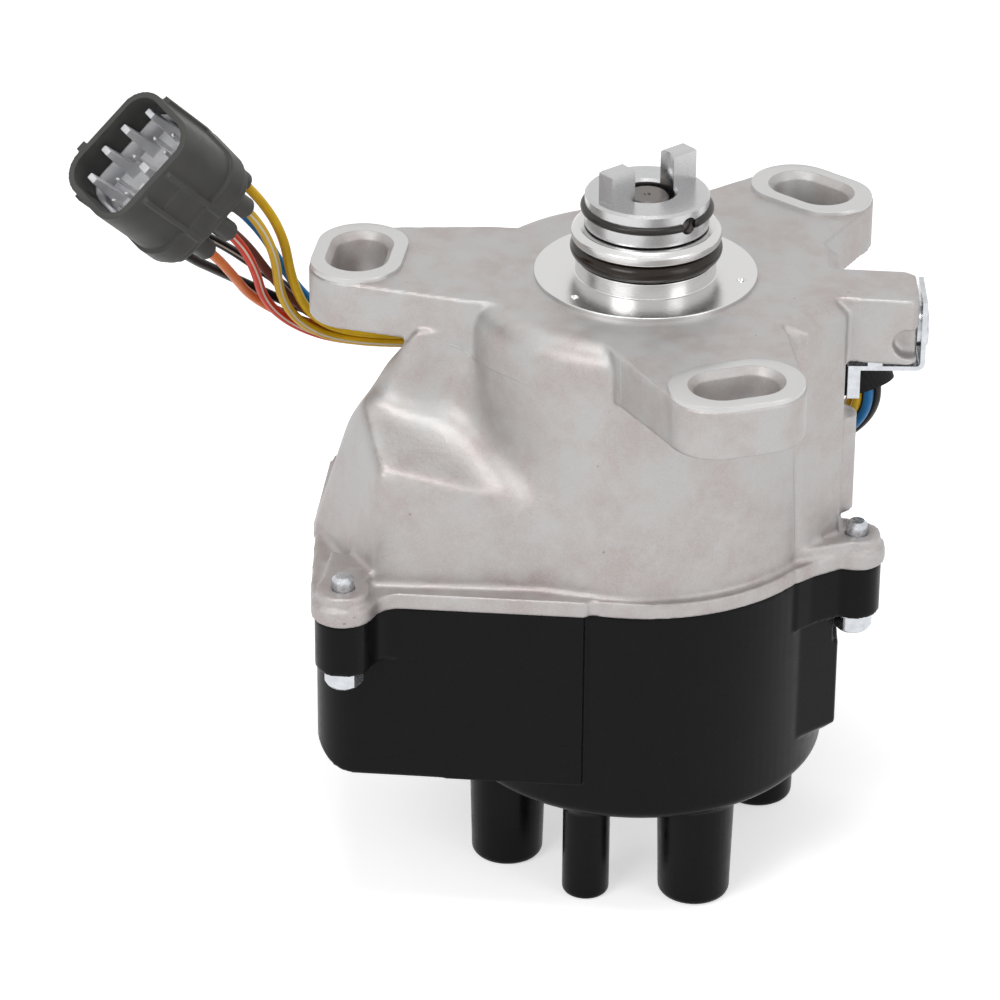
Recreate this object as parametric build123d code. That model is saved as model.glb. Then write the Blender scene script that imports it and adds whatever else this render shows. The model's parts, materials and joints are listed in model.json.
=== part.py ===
from build123d import *
import math
import os

# Ignition distributor for a four-cylinder engine, in millimetres.
# The origin is on the shaft axis in the mounting plane, and +Z runs out of the drive end.

# Mounting side of the housing
CAST_Z = -1.0            # cast face, just behind the machined faces at z = 0
FLANGE_R = 25.7
PUNCH_R = 22.3           # radius at which three punch marks sit
PUNCH_ANGLES = (-138.0, -14.0, 106.0)
EARS = ((60.4, -72.0), (61.0, 48.4), (66.5, 172.4))   # reach and angle of each ear
EAR_THICK = 12.0
EAR_NECK_REACH = 38.0
EAR_NECK_HALF = 20.5
PAD_R = 10.6
PAD_STRAIGHT = 9.7       # between the centres of the pad's two round ends
SLOT_R = 6.0
SLOT_STRAIGHT = 7.4
SLOT_CHAMFER = 1.4

# Spigot that centres the distributor in the cylinder head
LAND_R = 16.2
RIM_R = 17.2
SPIGOT_TOP = 11.7
GROOVE_LOW = 3.8
GROOVE_HIGH = 8.5
GROOVE_R = 13.1
O_RING_R = 2.2           # radius of the ring's round section

# Bearings and seal
SHAFT_R = 6.0
SHAFT_END_R = 5.0
SEAL_R = 10.0
SEAL_LOW = 6.2
SEAL_HIGH = 11.0
BUSH_R = 8.0
BUSH_LOW = -7.5
BUSH_HIGH = 4.0
BEARING_R = 14.0
BEARING_LOW = -18.0
BEARING_HIGH = -10.0
BALL_R = 2.38
BALL_COUNT = 8
BALL_PITCH_R = 10.0
RUN_GAP = 0.03           # radial running clearance of the bush
BEARING_BOSS_R = 21.0
RETAINER_R = 20.0
RETAINER_THICK = 1.6
RETAINER_SCREW_R = 17.0

# Cast body below the mounting face
BARREL_TOP_R = 42.2
BARREL_LOW_R = 43.2
BARREL_BORE_R = 38.5
TOP_WALL = 6.0
JOINT_Z = -67.0          # where housing and cap meet
RIM_THICK = 4.0
RIM_OVERHANG = 0.8       # how far the cast rim stands out past the cap
WALL = 3.4
TOP_ROUND = 6.5          # rounding of the barrel's top edge
SHOULDER_FALL = 0.5      # how far the left shoulder falls for each millimetre to the rear
SHOULDER = (
    (-46.0, -10.0),
    (-54.8, -19.1),
    (-59.3, -24.3),
    (-63.0, -31.0),
    (-68.0, -38.5),
    (-69.4, -42.9),
    (-73.0, -54.6),
    (-78.0, -70.0),
)
FLAT_X = 45.7            # flat right-hand wall of the housing

# Bracket lug
LUG_END = 62.2
LUG_LOW = -17.4
LUG_FRONT = -14.2
LUG_BACK = 3.4
BRACKET_BOLT_Y = -5.0
BRACKET_BOLT_Z = -11.5
LUG_POCKET_R = 3.6       # round end of the pocket in the lug's front face
LUG_POCKET_X = 60.0
LUG_POCKET_Z = -12.2
LUG_POCKET_DEEP = 4.5
BRACKET_GAP = 0.9        # between the lug's end and the bracket
BRACKET_THICK = 1.1
BRACKET_FOOT = 15.5      # how far the foot reaches in under the lug
BRACKET_DROP = 2.8
BRACKET_TOP = -3.0
PRONG_WIDE = 2.8
PRONG_DROP = 7.2

# Cap
CAP_R = 44.5
CAP_WALL = 3.3
CAP_FLOOR = -121.8       # outer bottom of the round part
BOX_FLOOR = -112.0       # outer bottom of the coil box
BOX_LEFT = -75.4
BOX_FRONT_LEFT = -38.7
BOX_FRONT_RIGHT = -44.0
BOX_BACK = 32.0
BOX_SLANT = 3.0          # how far the box's left side runs in from y = 0 to its rear corner
SEAM_X = -13.6           # right-hand end of the coil box
CAP_FLAT_X = 46.7
CAP_LUG_LOW = -80.0
SEAL_INSET = 0.9         # from the cap's outline to its seal
SEAL_WIDE = 1.3
SEAL_THICK = 0.9
CAP_LUGS = ((-68.6, -43.2, 6.6), (50.0, -15.0, 6.0), (-23.0, 47.6, 6.0))
TOWER_REACH = 33.6
TOWER_ANGLES = (-66.0, 24.0, 114.0, 204.0)
TOWER_END_R = 8.5
TOWER_ROOT_R = 9.2
TOWER_END = -148.4
SOCKET_R = 4.6
SOCKET_DEPTH = 18.0
VENT_ANGLE = -111.0
VENT_R = 5.6
VENT_BORE_R = 2.2

# Drive coupling
COUPLING_R = 14.3
COUPLING_LOW = 12.1
COUPLING_HIGH = 19.8
COUPLING_BORE_R = 6.3
DOG_ANGLE = 40.0
DOG_REACH = 9.2
DOG_LENGTH = 7.0
DOG_WIDTH = 4.6
DOG_TOP = 27.6
PIN_R = 2.0
PIN_Z = 16.1
PIN_GAP = 0.05
PIN_HALF = 12.4
RING_LOW = 15.2
RING_HIGH = 17.0
RING_GROOVE_R = 13.5
RING_R = 15.3
SHAFT_TOP = 19.0

# Sensors on the shaft
CORE_R = 5.5             # shaft radius under the toothed wheels
WHEEL_R = 20.0
WHEEL_ROOT_R = 17.0
WHEEL_THICK = 4.0
WHEEL_HIGHS = (-25.0, -33.0, -41.0)
WHEEL_TEETH = (4, 24, 1)
TOOTH_WIDTHS = (5.0, 2.4, 6.0)
WHEEL_NAMES = ("tdc_wheel", "crank_wheel", "cylinder_wheel")
PICKUP_NAMES = ("tdc_pickup", "crank_pickup", "cylinder_pickup")
PICKUP_ANGLES = (90.0, -30.0, 210.0)
SPACER_R = 8.0
COLLAR_LOW = -20.5
PICKUP_GAP = 0.7
PLATE_HIGH = -22.0
PLATE_THICK = 1.6
PLATE_R = 34.0
PLATE_BORE_R = 23.0
PLATE_SCREW_R = 28.5
PLATE_SCREW_ANGLES = (30.0, 150.0, 270.0)

# Rotor and the cover that keeps its ozone away from the sensors
COVER_HIGH = -60.5
COVER_THICK = 1.5
COVER_R = 37.8
COVER_BORE_R = 7.5
COVER_SCREW_R = 33.5
COVER_SCREW_ANGLES = (60.0, 180.0, 300.0)
PILLAR_R = 4.2
ROTOR_HIGH = -68.0
ROTOR_ARM_HIGH = -85.5
BLADE_LOW = -92.5
BLADE_THICK = 1.2
BLADE_REACH = 25.0
ROTOR_SHAFT_R = 4.5
ROTOR_SLEEVE_R = 8.5
ROTOR_ANGLE = 24.0
SPARK_GAP = 0.8

# Coil, module and high-tension path in the cap
COIL_GAP = 0.5           # between the coil and the round part of the cap
COIL_X = (-65.0, -CAP_R - COIL_GAP)
COIL_Y = (-21.0, 15.0)
COIL_Z = (-92.0, -54.0)
CORE_X = (-61.5, COIL_X[1] - 4.5)
CORE_LEG = 6.5
CORE_GAP = 0.3           # between the coil's ends and its iron core
CORE_Z = (-102.5, -70.0)
COIL_SCREW_X = -55.5
COIL_SCREW_YS = (-25.0, 19.0)
MODULE_SCREW_XS = (-59.4, -48.8)
COIL_TAB_THICK = 4.0
MODULE_HIGH = -38.0      # top of the plate that carries the ignition module
MODULE_PLATE = 2.0
MODULE_THICK = 6.0
STRIP_HIGH = -106.3
STRIP_THICK = 1.2
STRIP_HALF = 2.0
HT_X = COIL_X[1] - 2.2
BRUSH_R = 2.4
BRUSH_GAP = 0.08
BRUSH_LENGTH = 8.0
BRUSH_HOLDER_R = 5.0
BRUSH_HOLDER_HIGH = -97.0

# Cap screws
SCREW_R = 2.5
SCREW_TIP = -57.0
SCREW_HEX = 8.0
SCREW_HEAD = 4.2
SCREW_FLANGE_R = 4.6
SCREW_FLANGE = 1.0

# Harness, from the connector to the inside of the housing
OUTLET_ANGLE = 30.0
OUTLET_REACH = 46.2
OUTLET_Z = -55.5
OUTLET_R = 5.6
WIRE_R = 1.15
WIRE_RING_R = 2.94       # seven wires lie on this circle around the eighth
WIRE_TURN = -16.0
WIRE_TWIST = 100.0       # how far the bundle turns between connector and sleeve
SLEEVE_R = 5.2
SLEEVE_BORE_R = 4.3
WIRE_NAMES = (
    "wire_1",
    "wire_2",
    "wire_3",
    "wire_4",
    "wire_5",
    "wire_6",
    "wire_7",
    "wire_8",
)
FAN = (
    ((-92.4, 20.0, -4.8), 0.8),
    ((-87.6, 25.0, -16.2), 0.45),
    ((-80.2, 29.5, -26.2), 0.15),
    ((-69.9, 33.0, -32.4), 0.0),
)
BUNDLE = (
    (-48.0, 36.5, -34.5),
    (-37.0, 41.0, -32.5),
    (-25.5, 46.0, -31.5),
    (-13.0, 50.0, -30.5),
    (0.0, 51.8, -30.0),
    (13.5, 50.0, -29.5),
    (26.5, 45.0, -29.0),
    (37.5, 38.6, -27.3),
    (46.9, 27.6, -25.8),
    (51.6, 20.9, -31.5),
    (54.0, 19.9, -40.8),
    (51.6, 24.1, -49.5),
)

# Harness connector, which hangs free at the end of its wires
CONNECTOR = Plane(origin=(-117.4, -10.0, 32.2), x_dir=(0.6735, 0.2685, 0.689), z_dir=(0.444, 0.5985, -0.667))
SHELL_LONG = 28.8
SHELL_WIDE = 21.6
SHELL_ROUND = 6.6
SHELL_WALL = 1.5
SHELL_DEEP = 28.5
SHELL_FLOOR = 21.0       # depth of the room that takes the insert
INSERT_FLOOR = 15.0      # depth of the insert's face under the mouth
PORT_END = 37.0
PORT_R = 2.5
PORTS = (
    (11.0, 1.2),
    (7.2, 6.7),
    (0.6, 7.7),
    (-5.9, 6.7),
    (-10.6, 1.8),
    (-5.8, -4.0),
    (4.8, -4.2),
    (-0.5, -3.4),
)
PEGS = ((10, -5.2), (3.5, -7.3), (-3, -7.3), (-9.6, -4.9))
SHORT_PEGS = ((0, 0.1), (3.2, 4.6), (-3.4, 4.1))
PINS = ((6.5, -2.2), (0.3, -3.2), (-6, -2.2), (6, 2.6), (0.2, 6.4), (-6.8, 2.4), (10, 1), (-10, 1))


def polar(reach, degrees):
    angle = math.radians(degrees)
    return (reach * math.cos(angle), reach * math.sin(angle))


def rod(radius, low, high, at=(0, 0)):
    return Pos(at[0], at[1], (low + high) / 2) * Cylinder(radius, high - low)


def tube(outer, inner, low, high, at=(0, 0)):
    return rod(outer, low, high, at) - rod(inner, low - 1, high + 1, at)


def block(x, y, z):
    """A box between the pairs x, y and z."""
    centre = Pos((x[0] + x[1]) / 2, (y[0] + y[1]) / 2, (z[0] + z[1]) / 2)
    return centre * Box(abs(x[1] - x[0]), abs(y[1] - y[0]), abs(z[1] - z[0]))


def slab(outline, low, high):
    return Pos(0, 0, low) * extrude(outline, high - low)


def turned(*points):
    """Revolves an outline of (radius, z) points about the shaft axis."""
    return revolve(Plane.XZ * Polygon(*points, align=None), Axis.Z)


def polygon(*points):
    """A straight-sided outline, always drawn counter-clockwise."""
    area = sum(a[0] * b[1] - b[0] * a[1] for a, b in zip(points, points[1:] + points[:1]))
    if area < 0:
        points = points[::-1]
    return Polygon(*points, align=None)


def round_near(outline, radius, *places):
    """Rounds the outline's corner nearest to each place."""
    for place in places:
        target = Vector(place[0], place[1], 0)
        corner = min(outline.vertices(), key=lambda v: (Vector(v.X, v.Y, 0) - target).length)
        outline = fillet(corner, radius)
    return outline


def join(pieces):
    whole = pieces[0]
    for piece in pieces[1:]:
        whole = whole + piece
    return whole


# Outlines

def slot_face(straight, radius, reach, degrees):
    """A round-ended slot across the ear at this reach and angle."""
    return Rot(0, 0, degrees) * Pos(reach, 0) * Rot(0, 0, 90) * SlotCenterToCenter(straight, 2 * radius)


def ear_face(reach, degrees):
    half = PAD_STRAIGHT / 2 + PAD_R + 0.3
    neck = polygon(
        (EAR_NECK_REACH - 20, -EAR_NECK_HALF),
        (EAR_NECK_REACH, -EAR_NECK_HALF),
        (reach, -half),
        (reach, half),
        (EAR_NECK_REACH, EAR_NECK_HALF),
        (EAR_NECK_REACH - 20, EAR_NECK_HALF),
    )
    return Rot(0, 0, degrees) * neck + slot_face(PAD_STRAIGHT, PAD_R + 0.3, reach, degrees)


def box_face(left=BOX_LEFT):
    """Plan of the coil box, running in to the shaft axis."""
    outline = polygon(
        (left, BOX_FRONT_LEFT),
        (SEAM_X, BOX_FRONT_RIGHT),
        (SEAM_X, BOX_BACK + 8),
        (left + BOX_SLANT, BOX_BACK),
        (left, 0),
    )
    return outline


def flat_side_face(x, front=-18.0, back=19.0):
    return polygon((20, front - 12), (36, front - 9), (x, front), (x, back), (38, back + 4), (20, 25))


def cap_face():
    """Outline on which cap and housing meet, with its three screw lugs."""
    left, right, rear = CAP_LUGS
    outline = Circle(CAP_R) + round_near(box_face(), 12, (BOX_LEFT, BOX_BACK))
    outline = outline + flat_side_face(CAP_FLAT_X)
    outline = outline + Pos(left[0], left[1]) * Circle(left[2])
    neck = polygon((36, -26.1), (right[0] - 3.4, right[1] - 4.95), right[:2], (36, -8))
    outline = outline + neck + Pos(right[0], right[1]) * Circle(right[2])
    rear_neck = polygon((-34, 30), (rear[0] - 5.5, rear[1]), (rear[0] + 5.5, rear[1]), (-10, 30))
    outline = outline + rear_neck + Pos(rear[0], rear[1]) * Circle(rear[2])
    return round_near(outline, 7, (left[0] + 5.9, left[1] + 3.1))


def coil_plan(z, inset=0.0):
    """Plan of the coil compartment's wall at height z, wider towards the joint."""
    down = (-28 - z) / 35.0
    left = -67.6 - 8.6 * down
    points = (
        (-14, -41.0 + inset),
        (-24, -38.4 + inset),
        (-60.4 - 1.6 * down + inset * 0.7, -36.0 - 0.6 * down + inset),
        (-64.4 - 5.4 * down + inset, -19.0 - 4 * down + inset * 0.3),
        (left + inset, -8.0 + inset * 0.2),
        (left + inset, 17.0 - inset * 0.2),
        (-60 - 6 * down + inset * 0.8, 27.5 + 2.5 * down - inset),
        (-14, 34 + 3 * down - inset),
    )
    return Pos(0, 0, z) * polygon(*points)


def roof(drop=0.0):
    """Everything below the coil compartment's roof, which falls to the front, back and right."""
    profile = polygon(
        (-50, -90 - drop),
        (-50, -34.0 - drop),
        (-14, -22.6 - drop),
        (12, -24.5 - drop),
        (34, -37.5 - drop),
        (50, -46 - drop),
        (50, -90 - drop),
    )
    start = Plane(origin=(-84, 0, 0), x_dir=(0, 1, 0), z_dir=(1, 0, 0))
    return extrude(start * profile, 84, dir=(1, 0, -0.2))


def shoulder(inset=0.0):
    """Everything to the right of and below the coil compartment's sloping left shoulder."""
    first, last = SHOULDER[0], SHOULDER[-1]
    profile = polygon(*SHOULDER, (last[0], -160), (0, -160), (0, 90), (first[0], 90))
    front = -60
    height = -SHOULDER_FALL * front - 0.8 * inset
    start = Plane(origin=(inset, front, height), x_dir=(1, 0, 0), z_dir=(0, -1, 0))
    return extrude(start * profile, 130, dir=(0, 1, -SHOULDER_FALL))


# Housing

def spigot():
    return turned(
        (0, CAST_Z - 6),
        (LAND_R, CAST_Z - 6),
        (LAND_R, GROOVE_LOW),
        (GROOVE_R, GROOVE_LOW),
        (GROOVE_R, GROOVE_HIGH),
        (RIM_R - 0.4, GROOVE_HIGH),
        (RIM_R, GROOVE_HIGH + 0.4),
        (RIM_R, SPIGOT_TOP - 1.2),
        (RIM_R - 1.4, SPIGOT_TOP),
        (0, SPIGOT_TOP),
    )


def barrel():
    low = JOINT_Z + 1
    body = turned((0, low), (BARREL_LOW_R, low), (BARREL_TOP_R, CAST_Z), (0, CAST_Z))
    return fillet(body.edges().group_by(Axis.Z)[-1], TOP_ROUND)


def coil_housing():
    """Cast compartment that covers the upper half of the coil."""
    lower = loft([coil_plan(JOINT_Z + 1), coil_plan(-20)], ruled=True) & roof()
    wide = round_near(polygon((-66, -15.5), (-30, -16), (-30, 21), (-66, 21)), 5, (-66, -15), (-66, 21))
    narrow = round_near(polygon((-54, -13.5), (-30, -14), (-30, 21), (-54, 21)), 3, (-54, -14), (-54, 21))
    upper = loft([Pos(0, 0, -36) * wide, Pos(0, 0, -10) * narrow], ruled=True)
    step = loft(
        [
            Pos(0, 0, -44) * polygon((-72, -7), (-50, -7), (-50, 14), (-72, 14)),
            Pos(0, 0, -22) * polygon((-61.6, -3), (-50, -3), (-50, 11), (-61.6, 11)),
        ],
        ruled=True,
    )
    web = loft(
        [
            Pos(0, 0, -40) * polygon((-46.5, -15.5), (-34, -25.5), (-30, -15), (-46, -10)),
            Pos(0, 0, -10) * polygon((-45.8, -12.8), (-35.5, -16), (-30, -12), (-45.5, -9)),
        ],
        ruled=True,
    )
    return ((lower + upper + step) & shoulder()) + web


def coil_room():
    """Hollow inside the coil compartment, with a roof one wall thinner."""
    lower = loft([coil_plan(JOINT_Z - 1, WALL), coil_plan(-20, WALL)], ruled=True) & roof(WALL + 1.4)
    lower = lower & slab(joint_face(CAP_WALL), JOINT_Z - 2, CAST_Z)
    upper = block((-56, -45), (-9, 16), (-40, -15))
    return ((lower + upper) & shoulder(WALL)) - rod(BARREL_LOW_R, JOINT_Z - 2, 0)


def lug_body():
    plan = polygon(
        (34, LUG_FRONT + 3.6),
        (LUG_END - 1.8, LUG_FRONT),
        (LUG_END, LUG_FRONT + 2),
        (LUG_END, LUG_BACK - 3),
        (LUG_END - 2.4, LUG_BACK - 0.8),
        (34, LUG_BACK + 1.4),
    )
    body = slab(plan, LUG_LOW, CAST_Z)
    depth = (LUG_FRONT - 1, LUG_FRONT + LUG_POCKET_DEEP)
    height = (LUG_POCKET_Z - LUG_POCKET_R, LUG_POCKET_Z + LUG_POCKET_R)
    pocket = Rot(90, 0, 0) * Cylinder(LUG_POCKET_R, depth[1] - depth[0])
    pocket = Pos(LUG_POCKET_X, sum(depth) / 2, LUG_POCKET_Z) * pocket
    pocket = pocket + block((LUG_POCKET_X, LUG_END + 1), depth, height)
    hole = Pos(LUG_END - 6, BRACKET_BOLT_Y, BRACKET_BOLT_Z) * Rot(0, 90, 0) * Cylinder(2.5, 14)
    return body - pocket - hole


def rim_face():
    return offset(cap_face(), RIM_OVERHANG)


def screw_bosses():
    """Raised bosses on the rim that take the cap screws."""
    left, right, rear = CAP_LUGS
    low, high = JOINT_Z + 1, JOINT_Z + 7
    bosses = [rod(lug[2] - 0.4, low, high, lug[:2]) for lug in CAP_LUGS]
    bosses.append(slab(polygon((-74.0, -42), (-63.5, -40), (-60, -30), (-72, -26)), low, high))
    right_web = polygon((36, -24.5), (right[0] - 1, right[1] - 5.2), (right[0] + 1, -9), (40, -6))
    rear_web = polygon((-30, 36), (rear[0] - 5, rear[1]), (rear[0] + 5, rear[1]), (-12, 38))
    bosses.append(slab(right_web, low, high))
    bosses.append(slab(rear_web, low, high))
    return bosses


def wire_outlet():
    """Plane on the barrel's rear right where the harness leaves, facing outwards."""
    x, y = polar(1, OUTLET_ANGLE)
    return Plane(origin=(x * OUTLET_REACH, y * OUTLET_REACH, OUTLET_Z), x_dir=(0, 0, 1), z_dir=(x, y, 0))


def make_housing():
    low = CAST_Z - EAR_THICK
    solids = [slab(ear_face(reach, angle), low, CAST_Z) for reach, angle in EARS]
    solids.append(barrel())
    side = flat_side_face(FLAT_X, -15.5, 18.0)
    side_body = slab(side, JOINT_Z + 1, CAST_Z)
    top_edges = side_body.edges().group_by(Axis.Z)[-1]
    solids.append(chamfer(top_edges.sort_by(Axis.X)[-3:], 3.5))
    solids.append(coil_housing())
    solids.append(lug_body())
    solids.append(rod(4.0, -57, -32, (FLAT_X - 0.4, -8)))
    solids.append(slab(rim_face(), JOINT_Z, JOINT_Z + RIM_THICK))
    solids.extend(screw_bosses())
    solids.append(rod(FLANGE_R, CAST_Z - 1, 0))
    solids.append(spigot())
    for reach, angle in EARS:
        solids.append(slab(slot_face(PAD_STRAIGHT, PAD_R, reach, angle), CAST_Z - 1, 0))
    solids.append(wire_outlet() * Pos(0, 0, -3.5) * Cylinder(OUTLET_R + 1.6, 7))
    body = join(solids)

    floor = CAST_Z - TOP_WALL
    body = body - rod(BARREL_BORE_R, JOINT_Z - 1, floor)
    body = body - coil_room()
    inner = [rod(BEARING_BOSS_R, BEARING_LOW, floor + 1)]
    for angle in PLATE_SCREW_ANGLES:
        inner.append(rod(4.0, PLATE_HIGH, floor + 1, polar(PLATE_SCREW_R, angle)))
    for angle in COVER_SCREW_ANGLES:
        inner.append(rod(PILLAR_R, COVER_HIGH, floor + 1, polar(COVER_SCREW_R + 1.6, angle)))
    for y in COIL_SCREW_YS:
        inner.append(rod(4.2, COIL_Z[1], -34, (COIL_SCREW_X, y)) & roof(1) & shoulder(1))
    for x in MODULE_SCREW_XS:
        inner.append(rod(2.6, MODULE_HIGH, -13, (x, -2)) & shoulder(1))
    body = join([body] + inner)

    window = block((-48, -36), (-8, 8), (JOINT_Z - 1, -48))
    cuts = [window]
    cuts.append(rod(SEAL_R, SEAL_LOW - 0.8, SPIGOT_TOP + 1))
    cuts.append(rod(BUSH_R, BEARING_HIGH, SEAL_LOW))
    cuts.append(rod(BEARING_R - 2, BEARING_HIGH - 0.1, BUSH_LOW))
    cuts.append(rod(BEARING_R, BEARING_LOW - 1, BEARING_HIGH))
    for reach, angle in EARS:
        cuts.append(slab(slot_face(SLOT_STRAIGHT, SLOT_R, reach, angle), low - 2, 1))
        wide = slot_face(SLOT_STRAIGHT, SLOT_R + SLOT_CHAMFER, reach, angle)
        cuts.append(Pos(0, 0, 0.01) * extrude(wide, -2 * SLOT_CHAMFER, taper=45))
    for angle in PUNCH_ANGLES:
        x, y = polar(PUNCH_R, angle)
        cuts.append(Pos(x, y, 0.35) * Sphere(1.0))
    for angle in PLATE_SCREW_ANGLES:
        cuts.append(rod(1.5, PLATE_HIGH - 1, PLATE_HIGH + 8, polar(PLATE_SCREW_R, angle)))
    for angle in COVER_SCREW_ANGLES:
        cuts.append(rod(1.5, COVER_HIGH - 1, COVER_HIGH + 8, polar(COVER_SCREW_R, angle)))
    for angle in PLATE_SCREW_ANGLES:
        cuts.append(rod(1.25, BEARING_LOW - 1, BEARING_LOW + 7, polar(RETAINER_SCREW_R, angle + 60)))
    for y in COIL_SCREW_YS:
        cuts.append(rod(2.0, COIL_Z[1] - 1, COIL_Z[1] + 9, (COIL_SCREW_X, y)))
    for x in MODULE_SCREW_XS:
        cuts.append(rod(1.25, MODULE_HIGH - 1, MODULE_HIGH + 6, (x, -2)))
    for x, y, _ in CAP_LUGS:
        cuts.append(rod(SCREW_R, JOINT_Z - 1, JOINT_Z + 12, (x, y)))
    cuts.append(wire_outlet() * Pos(0, 0, -6) * Cylinder(OUTLET_R, 20))
    cuts.append(wire_outlet() * Pos(0, 0, 5) * Cylinder(OUTLET_R + 1.6, 10))
    cuts.append(seal_groove())
    return body - join(cuts)


# Seal, bush and bearing in the nose

def make_o_ring():
    middle = (GROOVE_LOW + GROOVE_HIGH) / 2
    return Pos(0, 0, middle) * Torus(GROOVE_R + O_RING_R, O_RING_R)


def make_oil_seal():
    case = tube(SEAL_R, SEAL_R - 1.2, SEAL_LOW - 0.8, SEAL_HIGH)
    web = tube(SEAL_R - 1.0, SHAFT_R + 1.4, SEAL_HIGH - 1.4, SEAL_HIGH)
    lip = turned(
        (SHAFT_R + RUN_GAP, SEAL_LOW + 2.0),
        (SHAFT_R + RUN_GAP, SEAL_LOW + 2.6),
        (SHAFT_R + 1.8, SEAL_HIGH - 1.0),
        (SHAFT_R + 2.6, SEAL_HIGH - 1.0),
        (SHAFT_R + 1.6, SEAL_LOW + 1.0),
    )
    return case + web + lip


def make_bush():
    return tube(BUSH_R, SHAFT_R + RUN_GAP, BUSH_LOW, BUSH_HIGH)


def race_groove():
    middle = (BEARING_LOW + BEARING_HIGH) / 2
    return Pos(0, 0, middle) * Torus(BALL_PITCH_R, BALL_R + 0.06)


def make_bearing_outer():
    return tube(BEARING_R, BALL_PITCH_R + 1.4, BEARING_LOW, BEARING_HIGH) - race_groove()


def make_bearing_inner():
    return tube(BALL_PITCH_R - 1.4, SHAFT_R, BEARING_LOW, BEARING_HIGH) - race_groove()


def ball_places():
    middle = (BEARING_LOW + BEARING_HIGH) / 2
    for index in range(BALL_COUNT):
        x, y = polar(BALL_PITCH_R, 360 * index / BALL_COUNT)
        yield Pos(x, y, middle)


def make_balls():
    return Compound([place * Sphere(BALL_R) for place in ball_places()])


def make_cage():
    middle = (BEARING_LOW + BEARING_HIGH) / 2
    cage = tube(BALL_PITCH_R + 0.9, BALL_PITCH_R - 0.9, middle - 2.9, middle + 2.9)
    pocket = Rot(0, 90, 0) * Cylinder(BALL_R + 0.05, BALL_PITCH_R)
    for index in range(BALL_COUNT):
        cage = cage - Rot(0, 0, 360 * index / BALL_COUNT) * Pos(BALL_PITCH_R, 0, middle) * pocket
    return cage


def make_retainer():
    plate = tube(RETAINER_R, BALL_PITCH_R + 1.2, BEARING_LOW - RETAINER_THICK, BEARING_LOW)
    for angle in PLATE_SCREW_ANGLES:
        x, y = polar(RETAINER_SCREW_R, angle + 60)
        plate = plate - rod(1.6, BEARING_LOW - 3, BEARING_LOW + 1, (x, y))
    return plate


def pan_screw(radius, head_radius, seat, length, at, head=1.8):
    """A pan-head screw that points up, with its head under the plane z = seat."""
    shank = rod(radius, seat, seat + length, at)
    cap = fillet(rod(head_radius, seat - head, seat, at).edges().group_by(Axis.Z)[0], 0.6)
    depth = (seat - head - 1, seat - head + 0.8)
    long, wide = head_radius * 0.6, 0.35
    slot = block((at[0] - long, at[0] + long), (at[1] - wide, at[1] + wide), depth)
    cross = block((at[0] - wide, at[0] + wide), (at[1] - long, at[1] + long), depth)
    return shank + cap - slot - cross


def make_retainer_screws():
    seat = BEARING_LOW - RETAINER_THICK
    places = [polar(RETAINER_SCREW_R, angle + 60) for angle in PLATE_SCREW_ANGLES]
    return Compound([pan_screw(1.25, 2.6, seat, 7, place) for place in places])


# Sensors

def make_sensor_plate():
    plate = tube(PLATE_R, PLATE_BORE_R, PLATE_HIGH - PLATE_THICK, PLATE_HIGH)
    for angle in PLATE_SCREW_ANGLES:
        plate = plate - rod(1.6, PLATE_HIGH - 3, PLATE_HIGH + 1, polar(PLATE_SCREW_R, angle))
    for angle in COVER_SCREW_ANGLES:
        plate = plate - rod(PILLAR_R + 0.6, PLATE_HIGH - 3, PLATE_HIGH + 1, polar(COVER_SCREW_R + 1.6, angle))
    return plate


def make_plate_screws():
    seat = PLATE_HIGH - PLATE_THICK
    places = [polar(PLATE_SCREW_R, angle) for angle in PLATE_SCREW_ANGLES]
    return Compound([pan_screw(1.5, 3.0, seat, 8, place) for place in places])


def make_wheel(index):
    """A toothed wheel on the shaft, with its teeth spread evenly."""
    high = WHEEL_HIGHS[index]
    wheel = rod(WHEEL_ROOT_R, high - WHEEL_THICK, high)
    width = TOOTH_WIDTHS[index]
    teeth = []
    for tooth in range(WHEEL_TEETH[index]):
        bar = block((WHEEL_ROOT_R - 2, WHEEL_R), (-width / 2, width / 2), (high - WHEEL_THICK, high))
        teeth.append(Rot(0, 0, PICKUP_ANGLES[index] + 360 * tooth / WHEEL_TEETH[index]) * bar)
    return join([wheel] + teeth) - rod(CORE_R, high - 20, high + 10)


def make_pickup(index):
    """A pickup that hangs from the sensor plate and points its pole at a wheel."""
    high = WHEEL_HIGHS[index]
    middle = high - WHEEL_THICK / 2
    base = block((24.6, PLATE_R - 0.6), (-7, 7), (PLATE_HIGH - PLATE_THICK - 3, PLATE_HIGH - PLATE_THICK))
    stem = block((28.4, PLATE_R - 1.6), (-5, 5), (middle - 3.2, PLATE_HIGH - PLATE_THICK))
    coil = Pos((24.6 + PLATE_R - 1.6) / 2, 0, middle) * Rot(0, 90, 0) * Cylinder(3.2, PLATE_R - 1.6 - 24.6)
    pole = block((WHEEL_R + PICKUP_GAP, 26), (-1.2, 1.2), (middle - 1.8, middle + 1.8))
    return Rot(0, 0, PICKUP_ANGLES[index]) * (base + stem + coil + pole)


def make_spacers():
    lows = WHEEL_HIGHS
    highs = [COLLAR_LOW] + [high - WHEEL_THICK for high in WHEEL_HIGHS[:-1]]
    return Compound([tube(SPACER_R, CORE_R, low, high) for low, high in zip(lows, highs)])


def make_wheel_clip():
    high = WHEEL_HIGHS[-1] - WHEEL_THICK
    low = high - 1.2
    return tube(SPACER_R, CORE_R - 0.6, low, high) - block((0, 10), (-2.2, 2.2), (low - 1, high + 1))


# Shaft, coupling and rotor

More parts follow.
